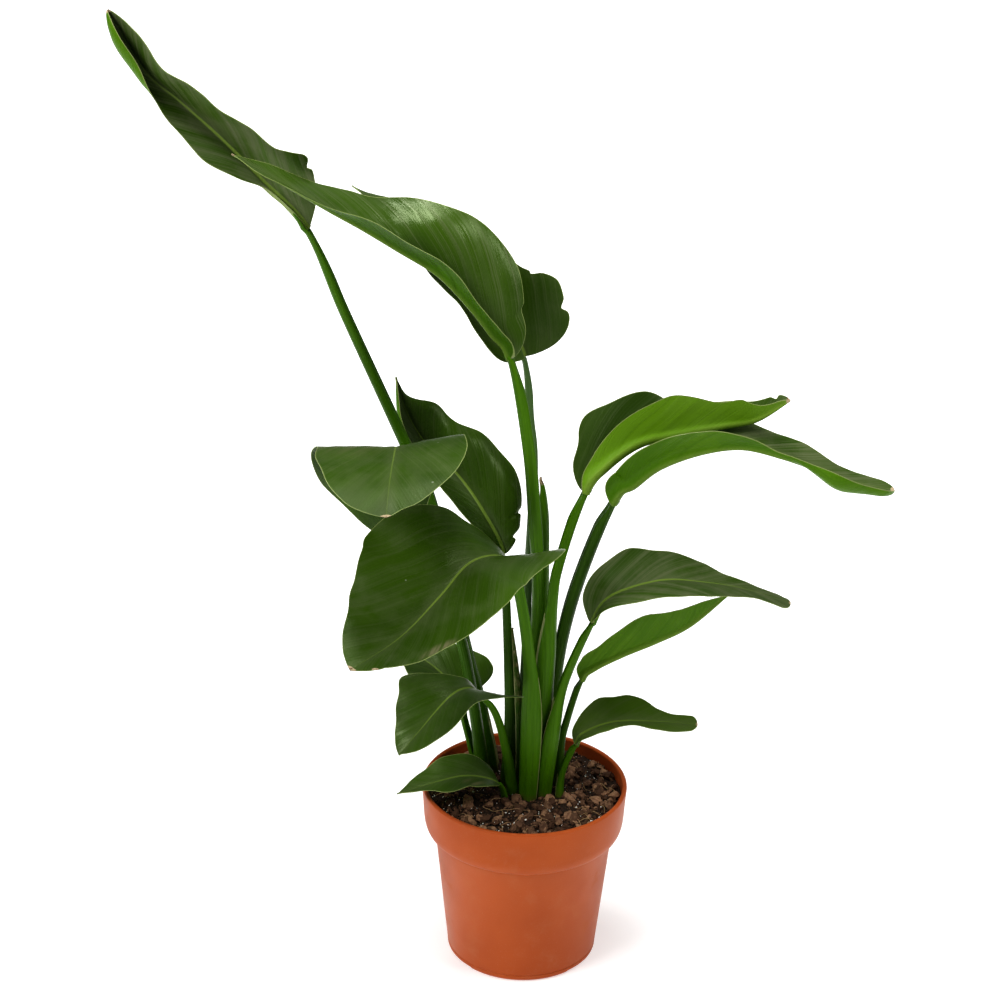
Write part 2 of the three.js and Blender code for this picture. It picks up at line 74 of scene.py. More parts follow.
# %% [markdown]
# ## The camera
# The photograph looks down on the plant by about 24 degrees, from about two metres away. A
# camera can be turned with angles, but three axis vectors say the same thing more plainly: one
# to the right, one up the picture and one backwards. The small roll levels the pot's rim.

# %% Camera
PITCH = math.radians(24.1)
ROLL = math.radians(1.0)
CAMERA_DISTANCE = 2.0
AIM = Vector((-0.0244, 0.0, 0.411))
LENS = 91.33
forward = Vector((0.0, math.cos(PITCH), -math.sin(PITCH)))
upright = Vector((0.0, math.sin(PITCH), math.cos(PITCH)))
level = Vector((1.0, 0.0, 0.0))
camera_x = level * math.cos(ROLL) + upright * math.sin(ROLL)
camera_y = upright * math.cos(ROLL) - level * math.sin(ROLL)
camera = put("camera", bpy.data.cameras.new("camera"))
camera.data.lens = LENS
turn = Matrix((camera_x, camera_y, -forward)).transposed().to_4x4()
camera.matrix_world = Matrix.Translation(AIM - forward * CAMERA_DISTANCE) @ turn
bpy.context.scene.camera = camera
print("the camera stands at", [round(v, 3) for v in camera.location])

# %% [markdown]
# ## Small helpers for materials
# A material is a tree of nodes. Making each node takes a line for its kind and one for every
# setting and link, so a helper does the three together. It takes the inputs as a dictionary: a
# plain value fills a socket, and the output of another node is linked to it.

# %% Node helpers
def fill(tree, node, inputs):
    """fills a node's inputs with plain values, or links them to the outputs of other nodes"""
    for key, value in inputs.items():
        if isinstance(value, bpy.types.NodeSocket):
            tree.links.new(value, node.inputs[key])
        else:
            node.inputs[key].default_value = value


def add(tree, kind, inputs, **settings):
    """adds a node with its settings, and fills its inputs"""
    made = tree.nodes.new(kind)
    for key, value in settings.items():
        setattr(made, key, value)
    fill(tree, made, inputs)
    return made


def calculate(tree, operation, a, b=0.0):
    return add(tree, "ShaderNodeMath", {0: a, 1: b}, operation=operation).outputs[0]


def times(tree, a, b):
    return calculate(tree, "MULTIPLY", a, b)


def plus(tree, a, b):
    return calculate(tree, "ADD", a, b)


def spread(tree, value, low, high, to_low=0.0, to_high=1.0):
    """carries a value from low..high to to_low..to_high, smoothly and without leaving it"""
    inputs = {"Value": value, "From Min": low, "From Max": high, "To Min": to_low, "To Max": to_high}
    return add(tree, "ShaderNodeMapRange", inputs, interpolation_type="SMOOTHSTEP").outputs[0]


def mix(tree, share, a, b):
    """a colour between a and b"""
    inputs = {"Factor": share, 6: a, 7: b}
    return add(tree, "ShaderNodeMix", inputs, data_type="RGBA").outputs[2]


def grain(tree, place, scale, detail=3.0, roughness=0.55):
    inputs = {"Vector": place, "Scale": scale, "Detail": detail, "Roughness": roughness}
    return add(tree, "ShaderNodeTexNoise", inputs).outputs["Fac"]


def stretched(tree, place, scale):
    """the place, scaled by its own amount each way, so that a noise on it turns into streaks"""
    return add(tree, "ShaderNodeMapping", {"Vector": place, "Scale": scale}).outputs[0]


print("sums, mixes and noises are a call each")

# %% [markdown]
# A material also reads its place on the object, and what the mesh carries: single numbers at
# its vertices, and pairs of numbers, called maps, at the corners of its faces.

# %% Helpers for places, materials and groups
def object_place(tree):
    """the place on the object, in metres"""
    return add(tree, "ShaderNodeTexCoord", {}).outputs["Object"]


def carried(tree, name):
    """a number that the mesh's vertices carry"""
    return add(tree, "ShaderNodeAttribute", {}, attribute_name=name).outputs["Fac"]


def mapped(tree, name):
    """a pair of numbers that the mesh's corners carry"""
    return add(tree, "ShaderNodeUVMap", {}, uv_map=name).outputs[0]


def axes(tree, vector):
    """the three numbers of a vector"""
    return add(tree, "ShaderNodeSeparateXYZ", {"Vector": vector}).outputs


def bumped(tree, height, strength, distance):
    """the direction that a surface with this height faces"""
    inputs = {"Height": height, "Strength": strength, "Distance": distance}
    return add(tree, "ShaderNodeBump", inputs).outputs[0]


def new_material(name):
    material = bpy.data.materials.new(name)
    material.use_nodes = True
    tree = material.node_tree
    return material, tree, tree.nodes["Principled BSDF"]


def new_group(name, inputs, outputs):
    """a node group with named sockets; inputs and outputs are lists of (name, kind)"""
    group = bpy.data.node_groups.new(name, "ShaderNodeTree")
    for label, kind in inputs:
        group.interface.new_socket(label, in_out="INPUT", socket_type=kind)
    for label, kind in outputs:
        group.interface.new_socket(label, in_out="OUTPUT", socket_type=kind)
    return group, group.nodes.new("NodeGroupInput").outputs, group.nodes.new("NodeGroupOutput").inputs


def use_group(tree, group, inputs):
    return add(tree, "ShaderNodeGroup", inputs, node_tree=group).outputs


FLOAT, VECTOR = "NodeSocketFloat", "NodeSocketVector"
print("the helpers for nodes are ready")

# %% [markdown]
# ## Floor and light
# The picture is a plain studio one, so the floor is one large white sheet. Light alone would
# leave it grey, so it also glows. The glow fades close to the pot, which leaves a soft shadow
# there. It fades in front of the plant and far to its right too, where the camera doesn't look:
# a bright floor there is mirrored in waxy leaves and lays a white veil over their green.

# %% Floor
FLOOR_SIZE = 30.0
FLOOR_WHITE = (0.75, 0.75, 0.75, 1)
SHADOW_START, SHADOW_END = 0.1, 1.6  # metres from the pot's axis
GLOW_AT_POT = 0.42
FRONT_START, FRONT_END, FRONT_GLOW = -0.15, -0.9, 0.25
RIGHT_START, RIGHT_END, RIGHT_GLOW = 0.55, 1.8, 0.3
bm = bmesh.new()
bmesh.ops.create_grid(bm, x_segments=1, y_segments=1, size=FLOOR_SIZE / 2)
floor = put("floor", finished_mesh(bm, "floor"))
floor_material, tree, shader = new_material("white_floor")
place = object_place(tree)
from_pot = add(tree, "ShaderNodeVectorMath", {0: place}, operation="LENGTH").outputs["Value"]
glow = spread(tree, from_pot, SHADOW_START, SHADOW_END, GLOW_AT_POT, 1.0)
front = spread(tree, axes(tree, place)[1], FRONT_END, FRONT_START, FRONT_GLOW, 1.0)
right = spread(tree, axes(tree, place)[0], RIGHT_END, RIGHT_START, RIGHT_GLOW, 1.0)
glow = times(tree, times(tree, glow, front), right)
fill(tree, shader, {"Base Color": FLOOR_WHITE, "Roughness": 0.9, "Specular IOR Level": 0.1,
                    "Emission Color": glow, "Emission Strength": 1.0})
floor.data.materials.append(floor_material)
print("the floor is", FLOOR_SIZE, "m wide")

# %% [markdown]
# The light comes from area lamps, because a lamp with a size gives soft shadows and soft
# highlights. The key is the big one, high on the left. The others are weak and mostly small,
# and each stands where a leaf mirrors it: overhead and behind for the leaves that lie flat, and
# two strips on the right for the shine along the arched leaf in the middle.

# %% World and lamps
WORLD_STRENGTH = 0.17
LAMPS = {  # place, target, width and height in metres, and watts
    "key_lamp": ((-1.9, -1.5, 2.3), (0, 0, 0.35), 1.2, 1.2, 44),
    "overhead_lamp": ((-0.15, -0.1, 2.6), (0, 0, 0.4), 1.4, 0.4, 24),
    "back_lamp": ((-0.42, 0.62, 2.6), (-0.05, 0, 0.4), 0.6, 0.35, 11),
    "high_strip": ((1.22, -0.84, 2.05), (0, 0, 0.6), 0.3, 0.6, 8),
    "low_strip": ((1.78, -0.42, 1.4), (0, 0, 0.6), 0.3, 0.8, 4),
}
world = bpy.data.worlds.new("studio")
bpy.context.scene.world = world
world.use_nodes = True
fill(world.node_tree, world.node_tree.nodes["Background"],
     {"Color": (1.0, 1.0, 1.0, 1), "Strength": WORLD_STRENGTH})
bpy.context.scene.view_settings.view_transform = "Standard"
bpy.context.scene.view_settings.look = "Medium High Contrast"


def area_lamp(name, place, target, width, height, watts):
    lamp = bpy.data.lights.new(name, "AREA")
    lamp.shape = "RECTANGLE"
    lamp.size = width
    lamp.size_y = height
    lamp.energy = watts
    holder = put(name, lamp)
    holder.location = place
    aim = Vector(target) - Vector(place)
    holder.rotation_euler = aim.to_track_quat("-Z", "Y").to_euler()


for name, (place, target, width, height, watts) in LAMPS.items():
    area_lamp(name, place, target, width, height, watts)
print("the world and", len(LAMPS), "lamps are in place")

# %% [markdown]
# ## The leaves' measurements
# Each leaf is one line in space, from the foot of its stalk along the midrib to the tip, with
# the width and fold of each half along it. These are the same numbers as in the model that
# gives the frame, so a blade made from them lies exactly where its node does.
# - `path`: points in millimetres, and `stalk`: how many of them belong to the stalk
# - `azimuth`: the way the leaf heads, seen from above, in degrees
# - `radii`: of the stalk, from foot to blade
# - `wide`: the width in millimetres of the left and the right half at every tenth of the blade
# - `fold`: how far each half is folded up, in degrees, from base to tip
# - `curl`: how much further it bends towards its margin, and `wave`: the margin's ripple

# %% The table of leaves
FLAT = [[0, 0], [0, 0]]
LEAVES = {
    "tall_left": dict(
        path=[(-26, 40, 136), (-37, 38, 205), (-50, 36, 262), (-78, 32, 391), (-101, 30, 448),
              (-147, 30, 555), (-174, 30, 622), (-209, 29, 661), (-240, 27, 694), (-269, 24, 722),
              (-293, 20, 745), (-318, 15, 792)],
        stalk=7, azimuth=180, radii=[7.5, 6.2, 5.5, 5, 4.5], wave=[1, 4, 0],
        wide=[[3, 3, 3, 17, 24, 24, 22, 18, 20, 24, 10],
              [4, 27, 43, 31, 30, 29, 32, 29, 25, 21, 9]],
        fold=[[-20, -30, -35, -35, -75, -75], [105, 120, 135, 150, 150, 150]],
        curl=[[0, 0, 0, 0, 160, 160], [-20, -20]]),
    "big_middle": dict(
        path=[(1, 18, 136), (5, 16, 230), (9, 13, 324), (4, 3, 400), (-2, -6, 460),
              (-16, -10, 535), (-31, -10, 557), (-50, -10, 581), (-73, -10, 604), (-101, -10, 621),
              (-130, -10, 638), (-156, -10, 652), (-187, -11, 670), (-227, -12, 693)],
        stalk=6, azimuth=180, radii=[6, 6, 6.3, 6.6, 6, 5.2], wave=[1, 4, 0],
        wide=[[8, 12, 12, 16, 19, 19, 18, 18, 15, 10, 0],
              [12, 31, 48, 52, 47, 45, 33, 31, 26, 16, 0]],
        fold=[[30, 36, 41, 34, 8, 0], [80, 88, 85, 38, 5, 5]],
        curl=[[0, 0], [-20, -45, -50, -25, 0, 0]]),
    "dark_behind": dict(
        path=[(-4, 30, 136), (0, 30, 258), (0, 33, 316), (3, 36, 421), (-1, 36, 467),
              (-6, 34, 519), (-26, 36, 552), (-58, 40, 588), (-98, 44, 622), (-142, 48, 652)],
        stalk=6, azimuth=180, radii=[5.5, 5, 4.5, 4.2, 4], wave=[2, 3, 1],
        wide=[[20, 44, 43, 44, 42, 40, 42, 37, 24, 13, 0],
              [40, 46, 52, 38, 34, 36, 34, 32, 26, 15, 0]],
        fold=[[-20, -20, -10, 0], [100, 85, 25, 0]],
        curl=[[10, 10], [-10, -10]]),
    "dark_mid": dict(
        path=[(-14, 14, 136), (-12, 17, 203), (-17, 20, 309), (-20, 27, 351), (-38, 37, 385),
              (-59, 49, 411), (-85, 58, 434), (-101, 61, 461), (-109, 62, 489)],
        stalk=4, azimuth=180, radii=[6, 5.5, 4.5, 4], wave=[1, 3, 2],
        wide=[[3, 11, 16, 22, 23, 23, 26, 26, 22, 11, 0],
              [10, 23, 37, 43, 40, 40, 34, 29, 25, 6, 0]],
        fold=[[-30, -45, -40, -75, -85, -85], [110, 110]],
        curl=[[10, 10, 20, 110, 150, 150], [-80, -80]]),
    "left_droop": dict(
        path=[(-33, 23, 136), (-43, 21, 215), (-58, 22, 288), (-86, 20, 345), (-100, 10, 384),
              (-103, -4, 427), (-104, -40, 472), (-105, -80, 478), (-106, -116, 475),
              (-107, -150, 463)],
        stalk=4, azimuth=272, radii=[6, 5, 4.5, 4], wave=[1, 3, 0],
        wide=[[4, 12, 18, 26, 38, 47, 53, 56, 50, 32, 6],
              [6, 18, 38, 57, 65, 67, 60, 59, 52, 42, 18]],
        fold=[[0, 5, 8, 12, 6, 0], [10, 5, 0, 0, 0, 0]],
        curl=FLAT),
    "big_front": dict(
        path=[(3, -8, 136), (5, -10, 226), (0, -14, 290), (-8, -16, 340), (-16, -24, 370),
              (-30, -42, 383), (-49, -60, 383), (-69, -85, 368), (-98, -120, 350),
              (-134, -150, 337)],
        stalk=5, azimuth=217, radii=[5.8, 7, 5, 4.5], wave=[1, 3, 0],
        wide=[[50, 60, 61, 62, 62, 56, 51, 44, 36, 20, 6],
              [30, 38, 57, 76, 80, 73, 65, 59, 48, 34, 8]],
        fold=[[42, 8, 0, 0, 0, 0], [15, 25, 25, 20, 15, 10]],
        curl=FLAT),
    "low_left": dict(
        path=[(-8, -3, 136), (-14, -4, 180), (-24, -5, 220), (-36, -8, 240), (-46, -16, 252),
              (-62, -35, 254), (-86, -60, 235), (-101, -72, 220)],
        stalk=4, azimuth=217, radii=[5, 4.5, 3.5, 3], wave=[1, 3, 0],
        wide=[[52, 47, 34, 28, 26, 26, 26, 25, 20, 12, 0],
              [3, 10, 15, 26, 38, 43, 36, 31, 22, 15, 4]],
        fold=[[25, 10, 0, 0, 0, 0], [15, 15, 20, 10]],
        curl=FLAT),
    "small_left": dict(
        path=[(-15, -9, 136), (-16, -11, 148), (-21, -14, 162), (-34, -16, 169), (-52, -20, 172),
              (-72, -30, 172), (-104, -42, 167)],
        stalk=3, azimuth=200, radii=[3.5, 3, 2.5], wave=[0.8, 3, 0],
        wide=[[8, 16, 20, 22, 22, 21, 18, 12, 7, 3, 0],
              [8, 17, 22, 25, 24, 22, 20, 17, 12, 6, 0]],
        fold=[[0, 5, 0, 0], [10, 18, 10, 0]],
        curl=FLAT),
    "right_upper": dict(
        path=[(15, 11, 136), (13, 3, 230), (18, 0, 321), (23, 2, 356), (41, 8, 416), (58, 11, 438),
              (84, 13, 457), (115, 13, 465), (150, 12, 473), (175, 11, 479), (200, 10, 496)],
        stalk=5, azimuth=0, radii=[6, 6.8, 6.4, 4.9, 5], wave=[1, 3, 0],
        wide=[[10, 24, 42, 40, 38, 28, 30, 25, 21, 15, 8],
              [4, 10, 16, 23, 29, 32, 28, 21, 20, 9, 4]],
        fold=[[65, 65, 60, 32, 30, 45], [90, 92, 95, 95, 85, 70]],
        curl=FLAT),
    "right_long": dict(
        path=[(22, 24, 136), (22, 19, 231), (34, 18, 314), (63, 8, 408), (80, 2, 428),
              (100, -2, 446), (132, -3, 459), (164, -3, 463), (196, -3, 455), (224, -3, 444),
              (252, -3, 434), (285, -3, 427)],
        stalk=4, azimuth=0, radii=[6, 6, 6.3, 5.5], wave=[1, 3, 0],
        wide=[[10, 27, 34, 37, 38, 34, 28, 24, 15, 12, 8],
              [8, 20, 26, 30, 24, 13, 5, 14, 33, 24, 18]],
        fold=[[10, 8, 10, 15, 15, 15], [70, 60, 55, 10, -60, -60]],
        curl=[[0, 0], [0, 0, 0, 60, 160, 150]]),
    "right_mid": dict(
        path=[(14, -4, 136), (19, -7, 193), (29, -4, 249), (50, -2, 305), (60, -4, 326),
              (78, -5, 338), (108, -6, 347), (140, -7, 346), (172, -8, 341), (209, -10, 330)],
        stalk=4, azimuth=0, radii=[5.4, 5.8, 4.5, 3.5], wave=[1, 3, 0],
        wide=[[6, 18, 27, 33, 26, 25, 22, 12, 9, 9, 10],
              [4, 14, 24, 27, 29, 35, 30, 22, 16, 13, 14]],
        fold=[[60, 50, 38, 20, 8, 0], [0, 0, 0, 5, 0, 0]],
        curl=FLAT),
    "right_light": dict(
        path=[(28, 12, 136), (29, 12, 182), (33, 12, 206), (44, 12, 246), (54, 11, 258),
              (78, 10, 272), (104, 10, 284), (131, 10, 299), (161, 10, 327)],
        stalk=4, azimuth=0, radii=[4.5, 4, 3.5, 3.2], wave=[1, 3, 0],
        wide=[[4, 10, 15, 18, 20, 20, 18, 16, 12, 7, 0],
              [4, 14, 16, 23, 28, 29, 26, 22, 15, 9, 0]],
        fold=[[30, 20, 20, 20], [80, 76, 76, 70]],
        curl=FLAT),
    "right_low": dict(
        path=[(28, -5, 136), (30, -2, 165), (40, -3, 193), (47, -5, 206), (72, -7, 218),
              (106, -9, 220), (140, -10, 218)],
        stalk=3, azimuth=0, radii=[4, 3.5, 3], wave=[0.8, 3, 0],
        wide=[[2, 9, 18, 24, 22, 24, 21, 12, 8, 9, 9],
              [3, 10, 14, 11, 9, 8, 8, 10, 13, 11, 6]],
        fold=[[50, 40, 32, 30, 25, 20], [-5, 0, -5, -10, -10, -10]],
        curl=FLAT),
    "hidden_left": dict(
        path=[(-38, 42, 136), (-46, 38, 172), (-51, 37, 193), (-54, 40, 208), (-63, 47, 222),
              (-79, 58, 233), (-96, 69, 237), (-110, 77, 234)],
        stalk=4, azimuth=140, radii=[4, 3.6, 3.2, 3], wave=[1, 3, 0],
        wide=[[16, 36, 40, 38, 35, 32, 28, 23, 17, 9, 0],
              [16, 38, 42, 40, 36, 32, 28, 23, 17, 9, 0]],
        fold=[[10, 10, 5, 0], [15, 15, 10, 5]],
        curl=FLAT),
}
SHOOTS = {
    "old_sheath": dict(path=[(-5, 7, 136), (-6, 8, 200), (-9, 10, 250), (-13, 12, 292)],
                       stalk=4, azimuth=0, radii=[3.8, 3.6, 3, 0.8]),
    "rolled_leaf": dict(
        path=[(11, 26, 136), (12, 27, 250), (11, 27, 355), (10, 26, 405), (7, 25, 420)],
        stalk=5, azimuth=0, radii=[4.5, 5, 5.4, 5.5, 5.5, 5.4, 5.2, 4.6, 1]),
}
print(len(LEAVES), "leaves and", len(SHOOTS), "shoots are measured")

# %% [markdown]
# ## Curves
# A short list of numbers, such as a fold at four places of a leaf, is read as a smooth curve.
# The same function reads the three coordinates of a path. Along the path each station has its
# own three directions: along it, sideways and up out of the leaf. The sideways direction stays
# level, which keeps a leaf from twisting on its way.

# %% Smooth values
CROWDING = 0.85


def smooth(values, t):
    """a smooth curve through evenly numbered values, read at t from 0 to 1"""
    last = len(values) - 1
    x = min(max(t, 0.0), 1.0) * last
    i = min(int(x), last - 1)
    f = x - i
    before = values[i - 1] if i > 0 else 2 * values[0] - values[1]
    after = values[i + 2] if i + 2 <= last else 2 * values[last] - values[last - 1]
    a, b = values[i], values[i + 1]
    slope_a, slope_b = (b - before) / 2, (after - a) / 2
    cubic = (2 * a - 2 * b + slope_a + slope_b) * f ** 3
    return cubic + (-3 * a + 3 * b - 2 * slope_a - slope_b) * f * f + slope_a * f + a


def ease(low, high, value):
    """0 below low, 1 above high and smooth between"""
    x = min(max((value - low) / (high - low), 0.0), 1.0)
    return x * x * (3 - 2 * x)


def crowded(share):
    """moves evenly spaced shares closer together towards both ends, where outlines round off"""
    return share + CROWDING * ((1 - math.cos(math.pi * share)) / 2 - share)


def path_point(path, t):
    return Vector([smooth([p[axis] for p in path], t) for axis in range(3)])


print("the tallest tip is at", round(path_point(LEAVES["tall_left"]["path"], 1).z), "mm")

# %% [markdown]
# Points that are evenly numbered on a smooth curve aren't evenly far apart. So the path is first
# walked in many small steps, and each station is then found by the length walked to it.

# %% Stations
WALK_STEPS = 400


def stations(leaf, first, last, shares):
    """the points at the given shares of the length between two numbered points of the path"""
    steps = WALK_STEPS
    spans = len(leaf["path"]) - 1
    fine = [path_point(leaf["path"], (first + (last - first) * i / steps) / spans)
            for i in range(steps + 1)]
    reach = [0.0]
    for i in range(steps):
        reach.append(reach[i] + (fine[i + 1] - fine[i]).length)
    heading = math.radians(leaf["azimuth"])
    flat_side = Vector((-math.sin(heading), math.cos(heading), 0.0))
    found = []
    i = 1
    for s in shares:
        want = reach[steps] * s
        while i < steps and reach[i] < want:
            i += 1
        share = (want - reach[i - 1]) / (reach[i] - reach[i - 1])
        along = (fine[min(i + 4, steps)] - fine[max(i - 5, 0)]).normalized()
        side = (flat_side - along * flat_side.dot(along)).normalized()
        found.append(dict(point=fine[i - 1].lerp(fine[i], share), along=along, side=side,
                          up=along.cross(side), s=s, reach=want))
    return found


print("the tallest leaf's path is", round(stations(LEAVES["tall_left"], 0, 11, [1])[0]["reach"]), "mm long")

# %% [markdown]
# ## Leaf surfaces
# Real blades have fine veins that leave the midrib at a slant and run to the margin, with
# broad pale and dark streaks along them. A noise stretched in the veins' direction gives both,
# so each blade's mesh carries a map with two numbers: which vein a point is on, and how far it
# is from the midrib. The streaks are a node group, because both faces of a blade use them.

# %% The vein group
VEIN_NOISES = {  # scale across and along the veins, detail, roughness, and the range that is used
    "Lines": (48.0, 1.2, 2.0, 0.6, 0.48, 0.70),
    "Streaks": (9.0, 0.8, 4.0, 0.65, 0.42, 0.62),
    "Bands": (2.6, 0.9, 2.0, 0.5, 0.35, 0.68),
}
leaf_veins, given, out = new_group("leaf_veins", [("Veins", VECTOR)],
                                   [(label, FLOAT) for label in VEIN_NOISES])
for label, (across, along, detail, roughness, low, high) in VEIN_NOISES.items():
    place = stretched(leaf_veins, given["Veins"], (across, along, 1.0))
    pattern = spread(leaf_veins, grain(leaf_veins, place, 1.0, detail, roughness), low, high)
    leaf_veins.links.new(pattern, out[label])
print("group", leaf_veins.name, "gives", list(VEIN_NOISES))

# %% [markdown]
# A blade's upper face is dark and waxy. Its midrib is a pale yellow-green line that fades
# towards the tip, its margin is a hair-thin pale line, and old blades have tan scuffs along
# the veins and a dry brown tip. Grey-green dust and pale streaks run along the veins, and part
# of that grey is painted sheen: the waxy shine, put into the colour. The mesh carries the
# distance to the margin and the share of the way to the tip, and two masks on its vertices,
# `dry` and `scuff`. Everything else is noise.

# %% Leaf colours
DEEP_GREEN = (0.020, 0.048, 0.002, 1)
LEAF_GREEN = (0.029, 0.067, 0.003, 1)
MID_GREEN = (0.052, 0.110, 0.005, 1)
# a lighter green for a leaf that stands in the light: painted light
LIT_GREEN = (0.085, 0.150, 0.014, 1)
# GREY_GREEN is dust and pale streaks, and partly painted sheen of the waxy surface
GREY_GREEN = (0.122, 0.148, 0.066, 1)
MIDRIB_GREEN = (0.19, 0.28, 0.045, 1)
MARGIN_PALE = (0.26, 0.31, 0.11, 1)
SCUFF_TAN = (0.20, 0.18, 0.10, 1)
DRY_TAN = (0.48, 0.38, 0.24, 1)
DRY_BROWN = (0.13, 0.075, 0.035, 1)
SPECK_WHITE = (0.55, 0.56, 0.48, 1)
LEAF_SHINE = (0.85, 1.0, 0.6, 1)
# the undersides' greens are partly painted light, the glow of light shining through a blade
UNDER_GREEN = (0.062, 0.162, 0.001, 1)
UNDER_PALE = (0.128, 0.262, 0.008, 1)
UNDER_LIGHT = (0.200, 0.340, 0.055, 1)
UNDER_MID = (0.036, 0.090, 0.001, 1)
MARGIN_OUTER, MARGIN_INNER = 0.002, 0.0075  # in units of 100 mm from the margin
FINE_BUMP = 0.0004
print("leaves run from", DEEP_GREEN[:3], "to", LIT_GREEN[:3])

# %% What a blade's material reads
def blade_places(tree):
    """the maps and masks that a blade's mesh carries"""
    veins = mapped(tree, "veins")
    across = calculate(tree, "ABSOLUTE", axes(tree, veins)[1])
    margin = axes(tree, mapped(tree, "margin"))
    dry, scuff = carried(tree, "dry"), carried(tree, "scuff")
    return veins, across, margin[0], margin[1], dry, scuff, object_place(tree)


def ragged(tree, mask, body, scale, amount, low, high):
    """a painted mask with a ragged edge"""
    return spread(tree, plus(tree, mask, times(tree, grain(tree, body, scale), amount)), low, high)


def finish(tree, shader, colour, rough, height, strength, distance, specular):
    """fills in the shader; a low green specular keeps the white floor out of the greens"""
    fill(tree, shader, {"Base Color": colour, "Roughness": rough, "Specular Tint": LEAF_SHINE,
                        "Specular IOR Level": specular,
                        "Normal": bumped(tree, height, strength, distance)})


print("a blade's places are two maps, two masks and its own coordinates")

# %% The upper side without its marks
def upper_green(tree, places, pattern, grey, rib, deep, streaked):
    """the greens and the midrib, and how strongly each point is greyed by dust and painted sheen"""
    _, across, _, s, _, _, body = places
    patch = spread(tree, grain(tree, body, 9.0, 3.0), 0.35, 0.68)
    colour = mix(tree, times(tree, patch, 0.7), deep, MID_GREEN)
    colour = mix(tree, times(tree, pattern["Bands"], 0.3), colour, MID_GREEN)
    # this noise is dust, and its pale grey patches are partly painted sheen
    dust_and_sheen = times(tree, spread(tree, grain(tree, body, 26.0, 5.0, 0.6), 0.45, 0.62), 0.5)
    greyed = plus(tree, times(tree, pattern["Streaks"], streaked), dust_and_sheen)
    colour = mix(tree, times(tree, greyed, grey), colour, GREY_GREEN)
    colour = mix(tree, times(tree, pattern["Lines"], 0.6 * streaked), colour, GREY_GREEN)
    near_midrib = spread(tree, across, 0.10, 0.0, 0.0, 0.25)
    colour = mix(tree, near_midrib, colour, GREY_GREEN)
    midrib_width = spread(tree, s, 0.0, 1.0, 0.013, 0.004)
    ratio = calculate(tree, "DIVIDE", across, midrib_width)
    midrib = times(tree, spread(tree, ratio, 1.25, 0.6), spread(tree, s, 1.0, 0.4, 0.15))
    return mix(tree, times(tree, midrib, rib), colour, MIDRIB_GREEN), greyed


def white_specks(tree, body):
    """small round specks, in few of the cells that the object is divided into"""
    cells = add(tree, "ShaderNodeTexVoronoi", {"Vector": body, "Scale": 42.0})
    rare = axes(tree, cells.outputs["Color"])[0]
    near = spread(tree, cells.outputs["Distance"], 0.05, 0.02)
    return times(tree, near, spread(tree, rare, 0.80, 0.84))


print("the greens and the specks of an upper side are ready")

# %% The upper side
def upper_material(name, grey, gloss, rib, deep, streaked, shine):
    """grey: how much dust and painted sheen; gloss: the least roughness; rib: how clear the midrib
    is; deep: the darkest green; streaked: how clear the pale veins are; shine: the specular level"""
    material, tree, shader = new_material(name)
    places = blade_places(tree)
    veins, _, edge, _, dry, scuff, body = places
    pattern = use_group(tree, leaf_veins, {"Veins": veins})
    colour, greyed = upper_green(tree, places, pattern, grey, rib, deep, streaked)
    worn = grain(tree, stretched(tree, veins, (11.0, 1.6, 1.0)), 1.0, 4.0, 0.65)
    worn = times(tree, spread(tree, worn, 0.36, 0.60), scuff)
    colour = mix(tree, times(tree, worn, 0.75), colour, SCUFF_TAN)
    colour = mix(tree, times(tree, white_specks(tree, body), grey), colour, SPECK_WHITE)
    colour = mix(tree, spread(tree, edge, MARGIN_INNER, MARGIN_OUTER), colour, MARGIN_PALE)
    dried = ragged(tree, dry, body, 240.0, 0.5, 0.6, 0.8)
    brown = mix(tree, spread(tree, grain(tree, body, 420.0), 0.3, 0.5), DRY_BROWN, DRY_TAN)
    colour = mix(tree, dried, colour, brown)
    rough = plus(tree, times(tree, greyed, 0.16), gloss)
    rough = plus(tree, rough, times(tree, worn, 0.2))
    rough = plus(tree, rough, times(tree, dried, 0.3))
    height = times(tree, pattern["Lines"], 0.3)
    height = plus(tree, height, times(tree, pattern["Streaks"], 0.6))
    height = plus(tree, height, times(tree, dried, 0.6))
    finish(tree, shader, colour, rough, height, 0.3, FINE_BUMP, shine)
    return material


print("the upper side's material is ready to be made in several looks")

# %% [markdown]
# The underside is matt and lighter, without dust or scuffs, and it takes the same veins. Its
# bright yellow-green is partly painted light: the glow of light that shines through a blade. The
# thin edge between the two sides gets a material of its own, because the pale line that it
# shows is what separates one dark leaf from another.

# %% Underside and margin
def under_material(name, green, pale):
    """green and pale: the two colours that its patches and veins run between"""
    material, tree, shader = new_material(name)
    veins, across, edge, _, dry, _, body = blade_places(tree)
    pattern = use_group(tree, leaf_veins, {"Veins": veins})
    patch = spread(tree, grain(tree, body, 10.0, 3.0), 0.35, 0.75)
    colour = mix(tree, patch, green, pale)
    colour = mix(tree, times(tree, pattern["Streaks"], 0.6), colour, green)
    colour = mix(tree, times(tree, pattern["Lines"], 0.2), colour, pale)
    ridge = spread(tree, across, 0.04, 0.01)
    colour = mix(tree, times(tree, ridge, 0.5), colour, MIDRIB_GREEN)
    colour = mix(tree, spread(tree, edge, MARGIN_INNER, MARGIN_OUTER), colour, MARGIN_PALE)
    dried = ragged(tree, dry, body, 240.0, 0.5, 0.6, 0.8)
    colour = mix(tree, dried, colour, DRY_TAN)
    rough = spread(tree, pattern["Streaks"], 0.0, 1.0, 0.38, 0.48)
    height = plus(tree, pattern["Lines"], pattern["Streaks"])
    finish(tree, shader, colour, rough, height, 0.3, FINE_BUMP, 0.18)
    return material


def margin_material(name):
    material, tree, shader = new_material(name)
    pale = mix(tree, grain(tree, object_place(tree), 60.0), MARGIN_PALE, MIDRIB_GREEN)
    dried = spread(tree, carried(tree, "dry"), 0.3, 0.6)
    fill(tree, shader, {"Base Color": mix(tree, dried, pale, DRY_BROWN), "Roughness": 0.5})
    return material


leaf_margin = margin_material("leaf_margin")
print("made", leaf_margin.name)
